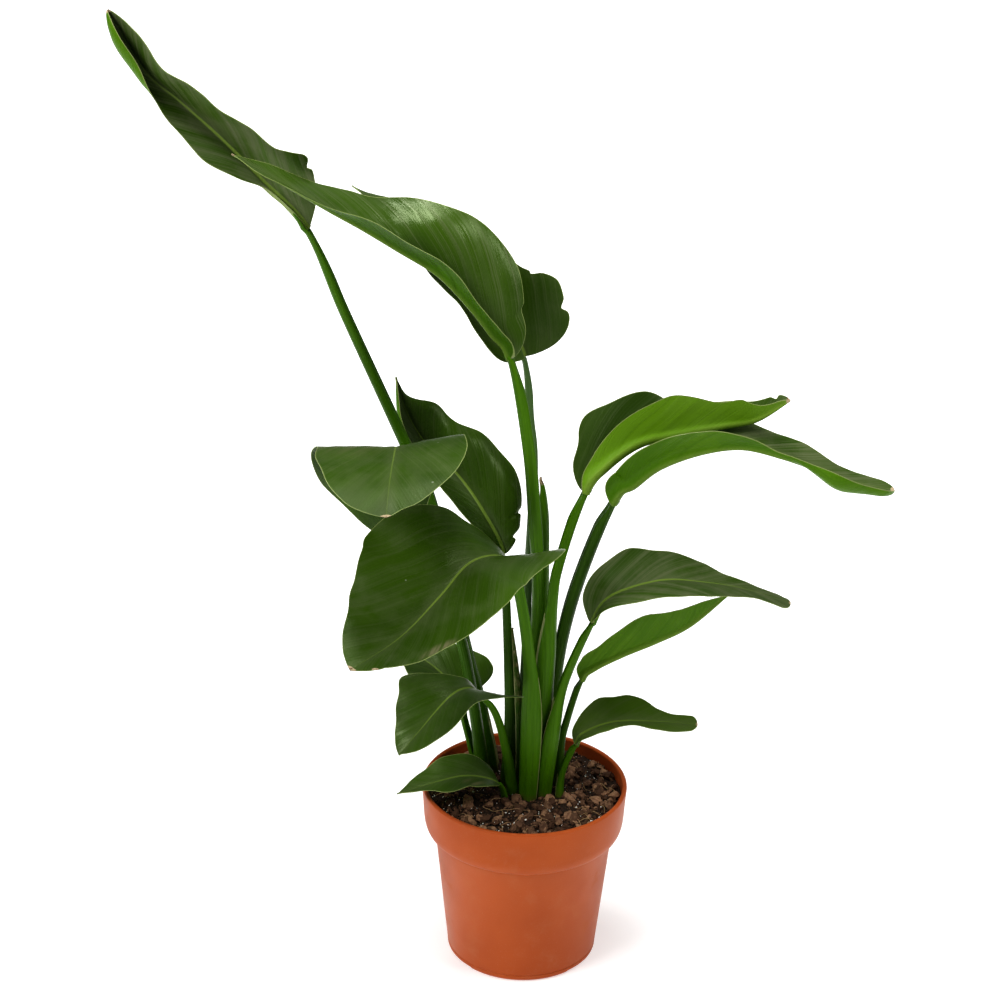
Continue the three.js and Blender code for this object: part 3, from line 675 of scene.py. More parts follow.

# %% [markdown]
# Old leaves are dusty and dull, and young ones clean and waxy. Some looks also paint in light
# or shade: a dark underside for blades that hang in shadow, and a lit green for a low leaf
# that the light reaches. A few looks from the same function cover them all.

# %% The looks
UPPER_LOOKS = {
    "glossy": upper_material("leaf_glossy", 0.12, 0.20, 0.5, LEAF_GREEN, 0.8, 0.42),
    "plain": upper_material("leaf_plain", 0.30, 0.36, 0.7, LEAF_GREEN, 0.4, 0.26),
    "ribbed": upper_material("leaf_ribbed", 0.40, 0.28, 1.0, LEAF_GREEN, 0.3, 0.45),
    "glossy_ribbed": upper_material("leaf_glossy_ribbed", 0.12, 0.24, 1.0, DEEP_GREEN, 0.4, 0.32),
    # painted light: a lit, lighter green for the low right leaf
    "light": upper_material("leaf_light", 0.40, 0.36, 0.8, LIT_GREEN, 0.4, 0.24),
    "streaky": upper_material("leaf_streaky", 0.80, 0.36, 0.9, LEAF_GREEN, 0.85, 0.24),
    "dusty": upper_material("leaf_dusty", 0.30, 0.38, 0.8, DEEP_GREEN, 0.3, 0.2),
    "deep": upper_material("leaf_deep", 0.10, 0.36, 0.6, DEEP_GREEN, 0.3, 0.26),
}
UNDER_LOOKS = {
    "fresh": under_material("leaf_under", UNDER_GREEN, UNDER_PALE),
    # the lightest underside: painted light on a blade that the light shines through
    "light": under_material("leaf_under_light", UNDER_PALE, UNDER_LIGHT),
    # painted shade: a darker underside for the arched middle leaf's narrow strip
    "half_shaded": under_material("leaf_under_mid", UNDER_MID, UNDER_GREEN),
    # painted shade: a dark underside for the drooping leaf, which hangs in the others' shadow
    "shaded": under_material("leaf_under_dark", DEEP_GREEN, MID_GREEN),
}
print("made", len(UPPER_LOOKS) + len(UNDER_LOOKS), "blade materials")

# %% [markdown]
# ## Marks of age
# No two blades carry the same marks, so they are listed leaf by leaf. A spot has the half it
# is on (0 left, 1 right), the share of the way to the tip, the share of the way to the margin
# and its two radii in millimetres. `dry` spots turn brown, `scuff` spots get tan streaks, and
# a nick cuts into the margin: half, share, depth and width. `upper` and `under` name the looks
# of its two sides.

# %% Spots and nicks
MARKS = {
    "tall_left": dict(dry=[(0, 1.0, 0.0, 3, 5)], nicks=[(1, 0.16, 0.12, 0.012)], upper="streaky"),
    # its narrow underside strip is darker with painted shade
    "big_middle": dict(dry=[(0, 1.0, 0.0, 3, 4)], upper="glossy", under="half_shaded"),
    "dark_behind": dict(nicks=[(1, 0.10, 0.10, 0.012), (1, 0.26, 0.08, 0.01)], upper="plain"),
    "dark_mid": dict(nicks=[(1, 0.06, 0.30, 0.012), (1, 0.14, 0.12, 0.008)],
                     upper="glossy_ribbed"),
    # its underside is dark with painted shade
    "left_droop": dict(
        dry=[(0, 1.0, 0.1, 3, 6)],
        scuff=[(1, 0.42, 0.55, 66, 46)],
        nicks=[(0, 0.97, 0.2, 0.02)], upper="dusty", under="shaded"),
    "big_front": dict(
        dry=[(0, 1.0, 0.0, 4, 8), (0, 0.93, 0.95, 2.5, 3)],
        scuff=[(0, 0.72, 0.92, 13, 6)],
        nicks=[(0, 0.9, 0.05, 0.01)], upper="ribbed"),
    "low_left": dict(dry=[(0, 0.02, 1.0, 4, 4)], upper="ribbed"),
    "small_left": dict(scuff=[(0, 0.3, 0.6, 12, 8)], upper="plain"),
    # its underside gets the lightest green, painted light shining through it
    "right_upper": dict(dry=[(0, 1.0, 0.0, 4, 4)], nicks=[(0, 0.95, 0.3, 0.012)],
                        upper="deep", under="light"),
    "right_long": dict(dry=[(0, 1.0, 0.0, 4, 4)], upper="streaky"),
    "right_mid": dict(dry=[(0, 1.0, 0.0, 2, 4)], nicks=[(0, 0.97, 0.25, 0.02)], upper="streaky"),
    "right_light": dict(upper="plain"),
    # its upper side gets painted light, a lit green
    "right_low": dict(dry=[(0, 1.0, 0.0, 2, 3)], upper="light"),
    "hidden_left": dict(upper="deep"),
}
print(sum(len(m.get("nicks", [])) for m in MARKS.values()), "nicks are listed")

# %% [markdown]
# ## The blades
# A blade is a created grid whose vertices are moved: the rows run from stalk to tip and the
# columns from margin to margin, closer together at the midrib, where the fold and the groove
# need them. The whole sheet is then extruded, and the copy is pulled down to the underside, so
# the blade is a closed body with a real keel under its midrib and a thin real edge.

# %% Blade shape
BLADE_ROWS = 150
HALF_COLUMNS = 26
BASE_ROUND = 0.08  # the share of a blade over which its outline rounds off at the stalk
TIP_ROUND = 0.05
NARROWEST = 0.8
EDGE_THICK = 0.4
EXTRA_THICK = 0.4  # how much thicker it gets from the margin to the midrib
CREASE = 0.10  # the share of a half over which its fold at the midrib is rounded
CLOSER = 1.25  # the power that moves the columns closer to the midrib
MAP_UNIT = 0.01  # the mesh's maps hold units of 100 mm
VEIN_SLANT = 1.35  # how far a vein runs towards the tip for each millimetre outwards
VEIN_BEND = 0.45  # and how much of its bend is close to the midrib
RIB_SWELL, RIB_PITCH = 0.08, 0.34
CALM_WIDTH = 7  # millimetres beside the midrib over which the swelling sets in
SLOW_SWELL, SLOW_ALONG, SLOW_ACROSS = 1.0, 36, 60
FRILL, FRILL_LENGTH = 0.35, 14
HALVES_APART = -1.7  # how far the right margin's ripple is behind the left one's, in radians
GROOVE_AT_STALK, GROOVE_AT_TIP, GROOVE_WIDTH = 1.0, 0.1, 1.5


def round_end(share, span):
    """rises from 0 to 1 over a span, like a quarter of a circle"""
    x = min(share / span, 1.0)
    return math.sqrt(max(1 - (1 - x) ** 2, 0.0))


def half_width(leaf, half, s, marks):
    rounded = round_end(s, BASE_ROUND) * round_end(1 - s, TIP_ROUND)
    width = max(smooth(leaf["wide"][half], s) * rounded, NARROWEST)
    for nick_half, place, depth, span in marks.get("nicks", []):
        if nick_half == half:
            width *= 1 - depth * math.exp(-((s - place) / span) ** 2)
    return width


def painted(spots, half, s, v, width, length):
    """how strongly a list of spots reaches a point of the blade, from 0 to 1"""
    strongest = 0.0
    for spot_half, place, out_share, long_radius, wide_radius in spots:
        sign = 1 if spot_half == half or out_share == 0.0 else -1
        across = (v * sign - out_share) * width
        distance = math.hypot((s - place) * length / long_radius, across / wide_radius)
        strongest = max(strongest, 1 - ease(0.3, 1.25, distance))
    return strongest


print("a blade has", BLADE_ROWS * HALF_COLUMNS * 2, "faces on each side")

# %% [markdown]
# One function works out half a row, walking outwards from the midrib in small steps. Each step
# goes on in the direction that the fold and the curl give at that place, so a half can roll
# without getting wider or narrower. A blade isn't flat in itself either: it swells between its
# veins, its margin ripples, and its midrib is a groove above and a keel below.

# %% Half a row
def half_row(leaf, half, station, marks, length, seed):
    """the points from the midrib to one margin, with everything that the mesh carries"""
    point, side, up, s = station["point"], station["side"], station["up"], station["s"]
    sign = 1 if half == 0 else -1
    fold = math.radians(smooth(leaf["fold"][half], s))
    other_fold = math.radians(smooth(leaf["fold"][1 - half], s))
    tilt = (fold - other_fold) / 2
    curl = math.radians(smooth(leaf["curl"][half], s))
    width = half_width(leaf, half, s, marks)
    widest = max(leaf["wide"][0] + leaf["wide"][1])
    height, count, start = leaf["wave"]
    fade = math.sqrt(math.sin(math.pi * s) + 1e-9)
    phase = 2 * math.pi * count * s + start + (0 if half == 0 else HALVES_APART)
    ripple = height * fade * math.sin(phase)
    keel = leaf["radii"][-1] * (1 - s) ** 0.7
    row = []
    across = lift = before = 0.0
    for j in range(HALF_COLUMNS + 1):
        v = (j / HALF_COLUMNS) ** CLOSER
        middle = (v + before) / 2
        angle = tilt + (fold - tilt) * ease(0, CREASE, middle) + curl * middle
        across += width * (v - before) * math.cos(angle)
        lift += width * (v - before) * math.sin(angle)
        before = v
        bend = tilt + (fold - tilt) * ease(0, CREASE, v) + curl * v
        out_of = up * math.cos(bend) - side * (sign * math.sin(bend))
        x = v * width
        vein = station["reach"] - VEIN_SLANT * x - VEIN_BEND * math.sqrt(x * widest)
        calm = min(x / CALM_WIDTH, 1.0) * fade
        swell = RIB_SWELL * math.sin(vein * RIB_PITCH + seed)
        swell += SLOW_SWELL * noise.noise((vein / SLOW_ALONG, x / SLOW_ACROSS, seed))
        frill = FRILL * noise.noise((station["reach"] / FRILL_LENGTH, half, seed)) * v ** 4
        groove_depth = (GROOVE_AT_STALK - GROOVE_AT_TIP) * (1 - s) + GROOVE_AT_TIP
        groove = -groove_depth * math.exp(-(x / GROOVE_WIDTH) ** 2)
        place = point + side * (sign * across) + up * (lift + ripple * v * v)
        place = place + out_of * (calm * swell + fade * frill + groove)
        ridge = (keel + 0.25) * math.exp(-(x / (0.75 * keel + 0.6)) ** 2)
        thick = EDGE_THICK + EXTRA_THICK * (1 - v) + max(ridge + groove, 0.0)
        row.append(dict(
            upper=place * MM, lower=(place - out_of * thick) * MM,
            veins=(vein * MAP_UNIT, sign * x * MAP_UNIT), margin=((width - x) * MAP_UNIT, s),
            dry=painted(marks.get("dry", []), half, s, v, width, length),
            scuff=painted(marks.get("scuff", []), half, s, v, width, length)))
    return row


print("half a row has", HALF_COLUMNS + 1, "points")

# %% [markdown]
# Every piece goes into the scene in the same way. It gets its materials, says which body it
# rides, and hides the frame's nodes that it stands for.

# %% Showing a piece
def show(piece_mesh, name, materials, nodes):
    """puts a finished mesh into the scene as a piece that stands for its nodes"""
    for material in materials:
        piece_mesh.materials.append(material)
    piece = put(name, piece_mesh)
    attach(piece, "root")
    if nodes:
        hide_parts(*nodes)
    return piece


print("the frame still waits for", len(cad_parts), "nodes to be replaced")

# %% [markdown]
# The copy's vertices have to find the sheet's, so every vertex carries its own number in a
# layer that the extrusion copies. The margin's edges are marked sharp: without that, smooth
# shading would round the thin edge off and darken the last column of the blade.


def make_blade(name, leaf, marks, seed):
    first = leaf["stalk"] - 1
    shares = [crowded(i / BLADE_ROWS) for i in range(BLADE_ROWS + 1)]
    rows = stations(leaf, first, len(leaf["path"]) - 1, shares)
    length = rows[-1]["reach"]
    sheet = []
    for station in rows:
        left = half_row(leaf, 0, station, marks, length, seed)
        right = half_row(leaf, 1, station, marks, length, seed)
        sheet.append(left[::-1] + right[1:])
    columns = 2 * HALF_COLUMNS
    bm = bmesh.new()
    number = bm.verts.layers.int.new("number")
    dry = bm.verts.layers.float.new("dry")
    scuff = bm.verts.layers.float.new("scuff")
    veins = bm.loops.layers.uv.new("veins")
    margin = bm.loops.layers.uv.new("margin")
    bmesh.ops.create_grid(bm, x_segments=columns, y_segments=BLADE_ROWS, size=1.0)
    cells = {}
    for vertex in bm.verts:
        j = round((vertex.co.x + 1) / 2 * columns)
        i = round((vertex.co.y + 1) / 2 * BLADE_ROWS)
        cell = sheet[i][j]
        vertex[number] = i * (columns + 1) + j
        vertex[dry] = cell["dry"]
        vertex[scuff] = cell["scuff"]
        vertex.co = cell["upper"]
        cells[vertex[number]] = cell
    bm.normal_update()
    sheet_verts = set(bm.verts)
    bmesh.ops.extrude_face_region(bm, geom=bm.faces[:], use_keep_orig=True)
    for vertex in bm.verts:
        if vertex not in sheet_verts:
            vertex.co = cells[vertex[number]]["lower"]
    for face in bm.faces:
        copied = sum(vertex not in sheet_verts for vertex in face.verts)
        face.material_index = {0: 0, 4: 1}.get(copied, 2)
        face.smooth = True
        for corner in face.loops:
            cell = cells[corner.vert[number]]
            corner[veins].uv = cell["veins"]
            corner[margin].uv = cell["margin"]
    for edge in bm.edges:
        edge.smooth = len({face.material_index for face in edge.link_faces}) == 1
    bmesh.ops.recalc_face_normals(bm, faces=bm.faces[:])
    mesh = finished_mesh(bm, f"leaf_{name}")
    looks = [UPPER_LOOKS[marks["upper"]], UNDER_LOOKS[marks.get("under", "fresh")], leaf_margin]
    return show(mesh, f"leaf_{name}", looks, [f"{name}_blade"])


for seed, (name, leaf) in enumerate(LEAVES.items()):
    make_blade(name, leaf, MARKS[name], seed)
print("made", len(LEAVES), "blades of about", 8 * BLADE_ROWS * HALF_COLUMNS, "triangles")

# %% [markdown]
# ## Stalk surfaces
# Stalks are brighter than the blades, with fine ribs along their whole length. Low down each
# one opens into a sheath whose margins dry to a pale thin skin. The mesh carries the place
# round and along the stalk, a mask for the margins, and its own tone, because the stalks run
# from bright yellow-green to a dark green with a waxy grey bloom on it. Damp mix stains the feet.

# %% The stalk material
STALK_BRIGHT = (0.074, 0.195, 0.001, 1)
STALK_GREEN = (0.036, 0.108, 0.001, 1)
STALK_DARK = (0.017, 0.050, 0.002, 1)
STALK_BLOOM = (0.085, 0.150, 0.055, 1)
SHEATH_EDGE = (0.42, 0.46, 0.20, 1)
FOOT_STAIN = (0.12, 0.085, 0.03, 1)
STAIN_TOP, STAIN_FULL = 0.163, 0.153  # metres up, and the mix's top is at 0.148


def stalk_material(name):
    material, tree, shader = new_material(name)
    ribs, body = mapped(tree, "ribs"), object_place(tree)
    tone, edge, dry = [carried(tree, label) for label in ("tone", "edge", "dry")]
    lines = spread(tree, grain(tree, stretched(tree, ribs, (130.0, 1.2, 1.0)), 1.0, 2.0), 0.35, 0.68)
    streaks = spread(tree, grain(tree, stretched(tree, ribs, (34.0, 0.8, 1.0)), 1.0, 3.0), 0.35, 0.65)
    patch = spread(tree, grain(tree, body, 9.0, 2.0), 0.35, 0.65)
    bright = mix(tree, times(tree, streaks, 0.55), STALK_BRIGHT, STALK_GREEN)
    bloom = spread(tree, tone, 0.7, 1.0)
    dark = mix(tree, bloom, STALK_DARK, STALK_BLOOM)
    toned = plus(tree, tone, times(tree, patch, 0.18))
    colour = mix(tree, spread(tree, toned, 0.1, 0.95), bright, dark)
    colour = mix(tree, times(tree, lines, 0.25), colour, STALK_BRIGHT)
    colour = mix(tree, spread(tree, edge, 0.35, 0.85), colour, SHEATH_EDGE)
    stain = plus(tree, axes(tree, body)[2], times(tree, grain(tree, body, 90.0), 0.018))
    colour = mix(tree, spread(tree, stain, STAIN_TOP, STAIN_FULL, 0.0, 0.6), colour, FOOT_STAIN)
    brown = mix(tree, spread(tree, grain(tree, stretched(tree, ribs, (60.0, 3.0, 1.0)), 1.0), 0.4, 0.6),
                DRY_BROWN, DRY_TAN)
    dried = ragged(tree, dry, body, 200.0, 0.4, 0.5, 0.8)
    colour = mix(tree, dried, colour, brown)
    rough = spread(tree, streaks, 0.0, 1.0, 0.33, 0.46)
    rough = plus(tree, rough, times(tree, dried, 0.3))
    height = plus(tree, lines, times(tree, streaks, 1.2))
    finish(tree, shader, colour, rough, height, 0.4, 0.0005, 0.18)
    return material


stalk_skin = stalk_material("stalk_skin")
print("made", stalk_skin.name)

# %% [markdown]
# ## The stalks
# A stalk's section is a round back and a shallow groove in front, like a gutter. Low down the
# groove opens until the section is a thin sheath that wraps what grows inside it. One loop of
# points describes both: an arc round the back from one lip to the other, and the groove from
# lip to lip. `sheath` gives the height in millimetres at which the sheath's lips begin, how
# much wider than the stalk it is, and how far round the arc goes, in degrees from the back.

# %% Stalk sections
STALK_ROWS = 110
BACK_POINTS = 26
FRONT_POINTS = 16
CLOSED_ARC = 128  # degrees from the back to a lip, above the sheath
OPENING = 55  # millimetres of height over which a stalk opens into its sheath
GROOVE_SAG = 0.28
SKIN = 0.5
RUN_ON = 0.4  # how far a stalk runs on under its blade, in spans of the path
TAPER_SPAN, TAPER, THINNEST = 60, 1.6, 0.12
SINK, SINK_SHARE = 0.35, 0.3  # how far it sinks there: millimetres, and a share of its radius
LIPS_FLAT = 0.9  # the share of a stalk from which its lips sink flat
DRY_LIP = 0.86  # the share of the way round from which a sheath's lip dries
LAST_STRIP = 0.3  # the width on the map of the strip that closes the loop
STALKS = {
    "tall_left": dict(tone=0.35, sheath=(215, 1.12, 140)),
    "big_middle": dict(tone=0.05, sheath=(300, 1.25, 150)),
    "dark_behind": dict(tone=1.0, sheath=(250, 1.1, 140)),
    "dark_mid": dict(tone=0.68, sheath=(220, 1.1, 140)),
    "left_droop": dict(tone=0.5, sheath=(190, 1.15, 140)),
    "big_front": dict(tone=0.08, sheath=(278, 1.35, 112)),
    "low_left": dict(tone=0.2, sheath=(185, 1.2, 145)),
    "small_left": dict(tone=0.2, sheath=(150, 1.1, 130)),
    "right_upper": dict(tone=0.1, sheath=(326, 1.3, 150)),
    "right_long": dict(tone=0.6, sheath=(240, 1.2, 145)),
    "right_mid": dict(tone=0.15, sheath=(253, 1.35, 150)),
    "right_light": dict(tone=0.45, sheath=(190, 1.2, 140)),
    "right_low": dict(tone=0.1, sheath=(180, 1.2, 140)),
    "hidden_left": dict(tone=0.3, sheath=(170, 1.2, 140)),
}


def gutter(station, radius, wrap, wall, lip_drop):
    """a closed loop of (place, round, lip): the back from lip to lip, then the groove"""
    point, side, up = station["point"], station["side"], station["up"]
    reach = math.radians(wrap)
    loop = []
    for j in range(BACK_POINTS):
        angle = reach * (2 * j / (BACK_POINTS - 1) - 1)
        rise = -math.cos(angle) * radius
        rise = min(rise, rise * lip_drop) if rise > 0 else rise
        place = point + side * (radius * math.sin(angle)) + up * rise
        loop.append((place, angle * radius, abs(angle) / reach))
    lip_x = radius * math.sin(reach)
    lip_up = -math.cos(reach) * radius * (lip_drop if math.cos(reach) < 0 else 1)
    for j in range(FRONT_POINTS):
        t = 1 - 2 * (j + 0.5) / FRONT_POINTS
        angle = reach * t
        thin = radius * wall * math.cos(t * math.pi / 2) ** 0.7 + SKIN
        inner = radius - thin
        hollow = point + side * (inner * math.sin(angle)) + up * (-inner * math.cos(angle))
        shallow_up = lip_up - GROOVE_SAG * radius * math.cos(t * math.pi / 2)
        shallow = point + side * (lip_x * t) + up * shallow_up
        openness = station["open"]
        loop.append((shallow.lerp(hollow, openness), angle * radius, 0.6 + 0.4 * abs(t)))
    return loop


print("a stalk's section has", BACK_POINTS + FRONT_POINTS, "points")

# %% [markdown]
# A created grid becomes a tube when its two side edges are moved onto each other and merged. The
# open ends are then filled, which closes the body. Where a stalk runs on under its blade it
# tapers off, so that the keel seems to grow out of it.

# %% Stalk mesh
def path_length(leaf, last):
    """the length in millimetres from the path's first point to a numbered one"""
    steps = 60
    spans = len(leaf["path"]) - 1
    points = [path_point(leaf["path"], i / steps * last / spans) for i in range(steps + 1)]
    return sum((b - a).length for a, b in zip(points, points[1:]))


def make_stalk(leaf, look, run_on, piece_name, node):
    """skins the sections with a created grid, merges its seam and closes its ends"""
    last = leaf["stalk"] - 1 + run_on
    rows = stations(leaf, 0, last, [i / STALK_ROWS for i in range(STALK_ROWS + 1)])
    sheath_top, widening, sheath_arc = look["sheath"]
    body_length = path_length(leaf, leaf["stalk"] - 1)
    loops = []
    for station in rows:
        u = station["reach"] / body_length
        radius = smooth(leaf["radii"], min(u, 1.0))
        opened = 1 - ease(sheath_top - OPENING, sheath_top, station["point"].z)
        station["open"] = opened
        radius *= 1 + (widening - 1) * opened
        past = max(station["reach"] - body_length, 0.0)
        radius *= max(1 - past / TAPER_SPAN * TAPER, THINNEST) if past > 0 else 1.0
        wrap = CLOSED_ARC + (sheath_arc - CLOSED_ARC) * opened
        drop = 1 - ease(LIPS_FLAT, 1.0, u) if run_on > 0 else 1.0
        loop = gutter(station, radius, wrap, look.get("wall", 0.45), drop)
        if past > 0:
            below = station["up"] * (SINK + SINK_SHARE * radius)
            loop = [(place - below, r, lip) for place, r, lip in loop]
        skin = ease(0.0, 0.25, opened)
        loops.append([(place * MM, r, lip * skin, station["reach"], u) for place, r, lip in loop])
    count = BACK_POINTS + FRONT_POINTS
    bm = bmesh.new()
    tone = bm.verts.layers.float.new("tone")
    edge = bm.verts.layers.float.new("edge")
    dry = bm.verts.layers.float.new("dry")
    ribs = bm.loops.layers.uv.new("ribs")
    bmesh.ops.create_grid(bm, x_segments=count, y_segments=STALK_ROWS, size=1.0)
    grid = {}
    for vertex in bm.verts:
        j = round((vertex.co.x + 1) / 2 * count)
        i = round((vertex.co.y + 1) / 2 * STALK_ROWS)
        grid[vertex] = (i, j)
    for face in bm.faces:
        face.smooth = True
        for corner in face.loops:
            i, j = grid[corner.vert]
            place, r, lip, reach, u = loops[i][j % count]
            strip = LAST_STRIP if j == count else 0.0
            corner[ribs].uv = (r * MAP_UNIT + strip, reach * MAP_UNIT)
    for vertex, (i, j) in grid.items():
        place, r, lip, reach, u = loops[i][j % count]
        vertex.co = place
        vertex[tone] = look["tone"]
        vertex[edge] = max((lip - DRY_LIP) / (1 - DRY_LIP), 0.0)
        vertex[dry] = look["dry"](u) if "dry" in look else 0.0
    bmesh.ops.remove_doubles(bm, verts=bm.verts[:], dist=1e-6)
    rim = [e for e in bm.edges if e.is_boundary]
    bmesh.ops.holes_fill(bm, edges=rim, sides=0)
    bmesh.ops.recalc_face_normals(bm, faces=bm.faces[:])
    return show(finished_mesh(bm, piece_name), piece_name, [stalk_skin], [node])


for name, leaf in LEAVES.items():
    make_stalk(leaf, STALKS[name], RUN_ON, f"stalk_{name}", f"{name}_stalk")
print("made", len(LEAVES), "stalks")

# %% [markdown]
# Two more pieces have a stalk's form. The rolled leaf is a young blade that is still wound
# into a spear with a brown tip, and the old sheath is what is left of a leaf that has gone: a
# dry brown gutter with pale edges. Both use the same sections with other numbers.

# %% Rolled leaf and old sheath
spear_look = dict(tone=0.15, sheath=(900, 1.0, 168), wall=0.3, dry=lambda u: 0.8 * ease(0.95, 1.0, u))
make_stalk(SHOOTS["rolled_leaf"], spear_look, 0, "spear", "rolled_leaf")
sheath_look = dict(tone=0.68, sheath=(900, 1.25, 120), wall=0.15, dry=lambda u: 0.2 + 0.25 * u)
make_stalk(SHOOTS["old_sheath"], sheath_look, 0, "dry_sheath", "old_sheath")
print("made the spear and the dry sheath")

# %% [markdown]
# ## The pot
# The pot is moulded, round and smooth, so its outline is drawn once and spun about the
# upright axis. The collar swells out over a soft shoulder, the lip and the foot are rounded,
# and a fine ring runs just above the foot. Drain holes and foot notches are cut afterwards
# with boolean modifiers, because they aren't round about the same axis.

# %% Pot shape
RIM_RADIUS = 85.0
POT_HEIGHT = 156.0
BASE_RADIUS = 62.6
SHOULDER = 113.0
BODY_TOP_RADIUS = 74.0
WALL = 2.2
PAD_RADIUS = 36.0
DRAIN_CIRCLE = 46.0
DRAIN_HOLES = 6
DRAIN_RADIUS = 4.0
NOTCH_ANGLES = (37, 139, 217, 319)
NOTCH_SIZE = (12.0, 24.0, 5.6)
NOTCH_ROUND = 1.5
FOOT_ROUND = 4.2
FLOOR_TOP = 5.4
PAD_TOP = 2.4
LIP_ROUND = 2.0
SPIN_STEPS = 160


def arc(centre_r, centre_z, radius, start, stop, count):
    """points on a quarter or half turn of a profile, angles in degrees"""
    angles = [math.radians(start + (stop - start) * i / count) for i in range(count + 1)]
    return [(centre_r + radius * math.cos(a), centre_z + radius * math.sin(a)) for a in angles]


def curve(points, count):
    """a smooth line through a profile's points"""
    return [(smooth([p[0] for p in points], i / count), smooth([p[1] for p in points], i / count))
            for i in range(count + 1)]


def lathe(name, profile, steps):
    """spins a profile of (radius, height) in millimetres about the upright axis"""
    bm = bmesh.new()
    verts = [bm.verts.new((r * MM, 0.0, z * MM)) for r, z in profile]
    edges = [bm.edges.new(pair) for pair in zip(verts, verts[1:])]
    bmesh.ops.spin(bm, geom=verts + edges, cent=(0, 0, 0), axis=(0, 0, 1), angle=2 * math.pi,
                   steps=steps, use_merge=True)
    bmesh.ops.remove_doubles(bm, verts=bm.verts[:], dist=1e-6)
    bmesh.ops.recalc_face_normals(bm, faces=bm.faces[:])
    return finished_mesh(bm, name)


pot_profile = [(0, 0), (PAD_RADIUS, 0), (PAD_RADIUS + 2, 3), (54, 3), (56, 0)]
pot_profile += arc(BASE_RADIUS - FOOT_ROUND, FOOT_ROUND, FOOT_ROUND, -90, 0, 8)
pot_profile += [(BASE_RADIUS + 0.1, 5.4), (BASE_RADIUS - 0.25, 5.8), (BASE_RADIUS - 0.25, 6.1),
                (BASE_RADIUS + 0.15, 6.5)]
pot_profile += [(BODY_TOP_RADIUS - 0.2, SHOULDER - 1.5)]
pot_profile += curve([(BODY_TOP_RADIUS + 0.6, SHOULDER - 0.2), (BODY_TOP_RADIUS + 3.4, SHOULDER + 1.2),
                      (BODY_TOP_RADIUS + 6.6, SHOULDER + 4), (RIM_RADIUS - 2.6, SHOULDER + 9),
                      (RIM_RADIUS - 1.8, SHOULDER + 15)], 20)
pot_profile += [(RIM_RADIUS - 1.0, SHOULDER + 28)]
pot_profile += arc(RIM_RADIUS - LIP_ROUND, POT_HEIGHT - LIP_ROUND, LIP_ROUND, 0, 180, 12)
pot_profile += [(RIM_RADIUS - 1.8 - WALL, SHOULDER + 14), (RIM_RADIUS - 3.2 - WALL, SHOULDER + 8.4),
                (BODY_TOP_RADIUS + 4 - WALL, SHOULDER + 4), (BODY_TOP_RADIUS - WALL, SHOULDER + 1.2),
                (BASE_RADIUS - WALL, FLOOR_TOP), (PAD_RADIUS + 2.5, FLOOR_TOP),
                (PAD_RADIUS + 0.5, PAD_TOP), (0, PAD_TOP)]
pot = put("pot_shell", lathe("pot_shell", pot_profile, SPIN_STEPS))
print("the pot's outline has", len(pot_profile), "points")

# %% [markdown]
# Each hole and notch is a hidden solid that a boolean modifier takes out of the pot. Reading the
# evaluated mesh back afterwards leaves one plain mesh without modifiers, and the hidden solids
# can go.

# %% Drain holes and notches
def cutter(name, build, placing):
    """a hidden solid that a boolean modifier takes out of the pot"""
    bm = bmesh.new()
    build(bm)
    bmesh.ops.transform(bm, matrix=placing, verts=bm.verts[:])
    return put(name, finished_mesh(bm, name))


def drill(bm):
    bmesh.ops.create_cone(bm, cap_ends=True, segments=24, radius1=DRAIN_RADIUS * MM,
                          radius2=DRAIN_RADIUS * MM, depth=12 * MM)


def notch(bm):
    bmesh.ops.create_cube(bm, size=1.0)
    bmesh.ops.scale(bm, vec=Vector(NOTCH_SIZE) * MM, verts=bm.verts[:])
    bmesh.ops.bevel(bm, geom=bm.edges[:], offset=NOTCH_ROUND * MM, segments=3, profile=0.5,
                    affect="EDGES", material=-1)


cutters = []
for i in range(DRAIN_HOLES):
    away = Matrix.Rotation(math.radians(360 / DRAIN_HOLES * (i + 0.5)), 4, "Z")
    cutters.append(cutter("drill", drill, away @ Matrix.Translation((DRAIN_CIRCLE * MM, 0, 3 * MM))))
for angle in NOTCH_ANGLES:
    away = Matrix.Rotation(math.radians(angle), 4, "Z")
    cutters.append(cutter("notch", notch, away @ Matrix.Translation(((BASE_RADIUS - 1) * MM, 0, 0))))
for solid in cutters:
    cut = pot.modifiers.new(solid.name, "BOOLEAN")
    cut.operation = "DIFFERENCE"
    cut.solver = "EXACT"
    cut.object = solid
depsgraph = bpy.context.evaluated_depsgraph_get()
pot_mesh = bpy.data.meshes.new_from_object(pot.evaluated_get(depsgraph))
for unused in [pot, *cutters]:
    bpy.data.objects.remove(unused)
pot_mesh.shade_smooth()
pot_mesh.set_sharp_from_angle(angle=math.radians(38))
print("the pot has", len(pot_mesh.polygons), "faces")

# %% [markdown]
# The plastic is coloured through, a warm terracotta with a soft satin shine. Handling leaves
# faint upright scratches, dust greys the shoulder and the foot a little, and watering leaves
# soft mineral stains, so the colour and the roughness drift slowly over the surface.

# %% Pot material
TERRACOTTA = (0.47, 0.100, 0.024, 1)
TERRACOTTA_DEEP = (0.40, 0.080, 0.019, 1)
POT_DUST = (0.55, 0.28, 0.17, 1)
PLASTIC_SHINE = (1.0, 0.72, 0.5, 1)


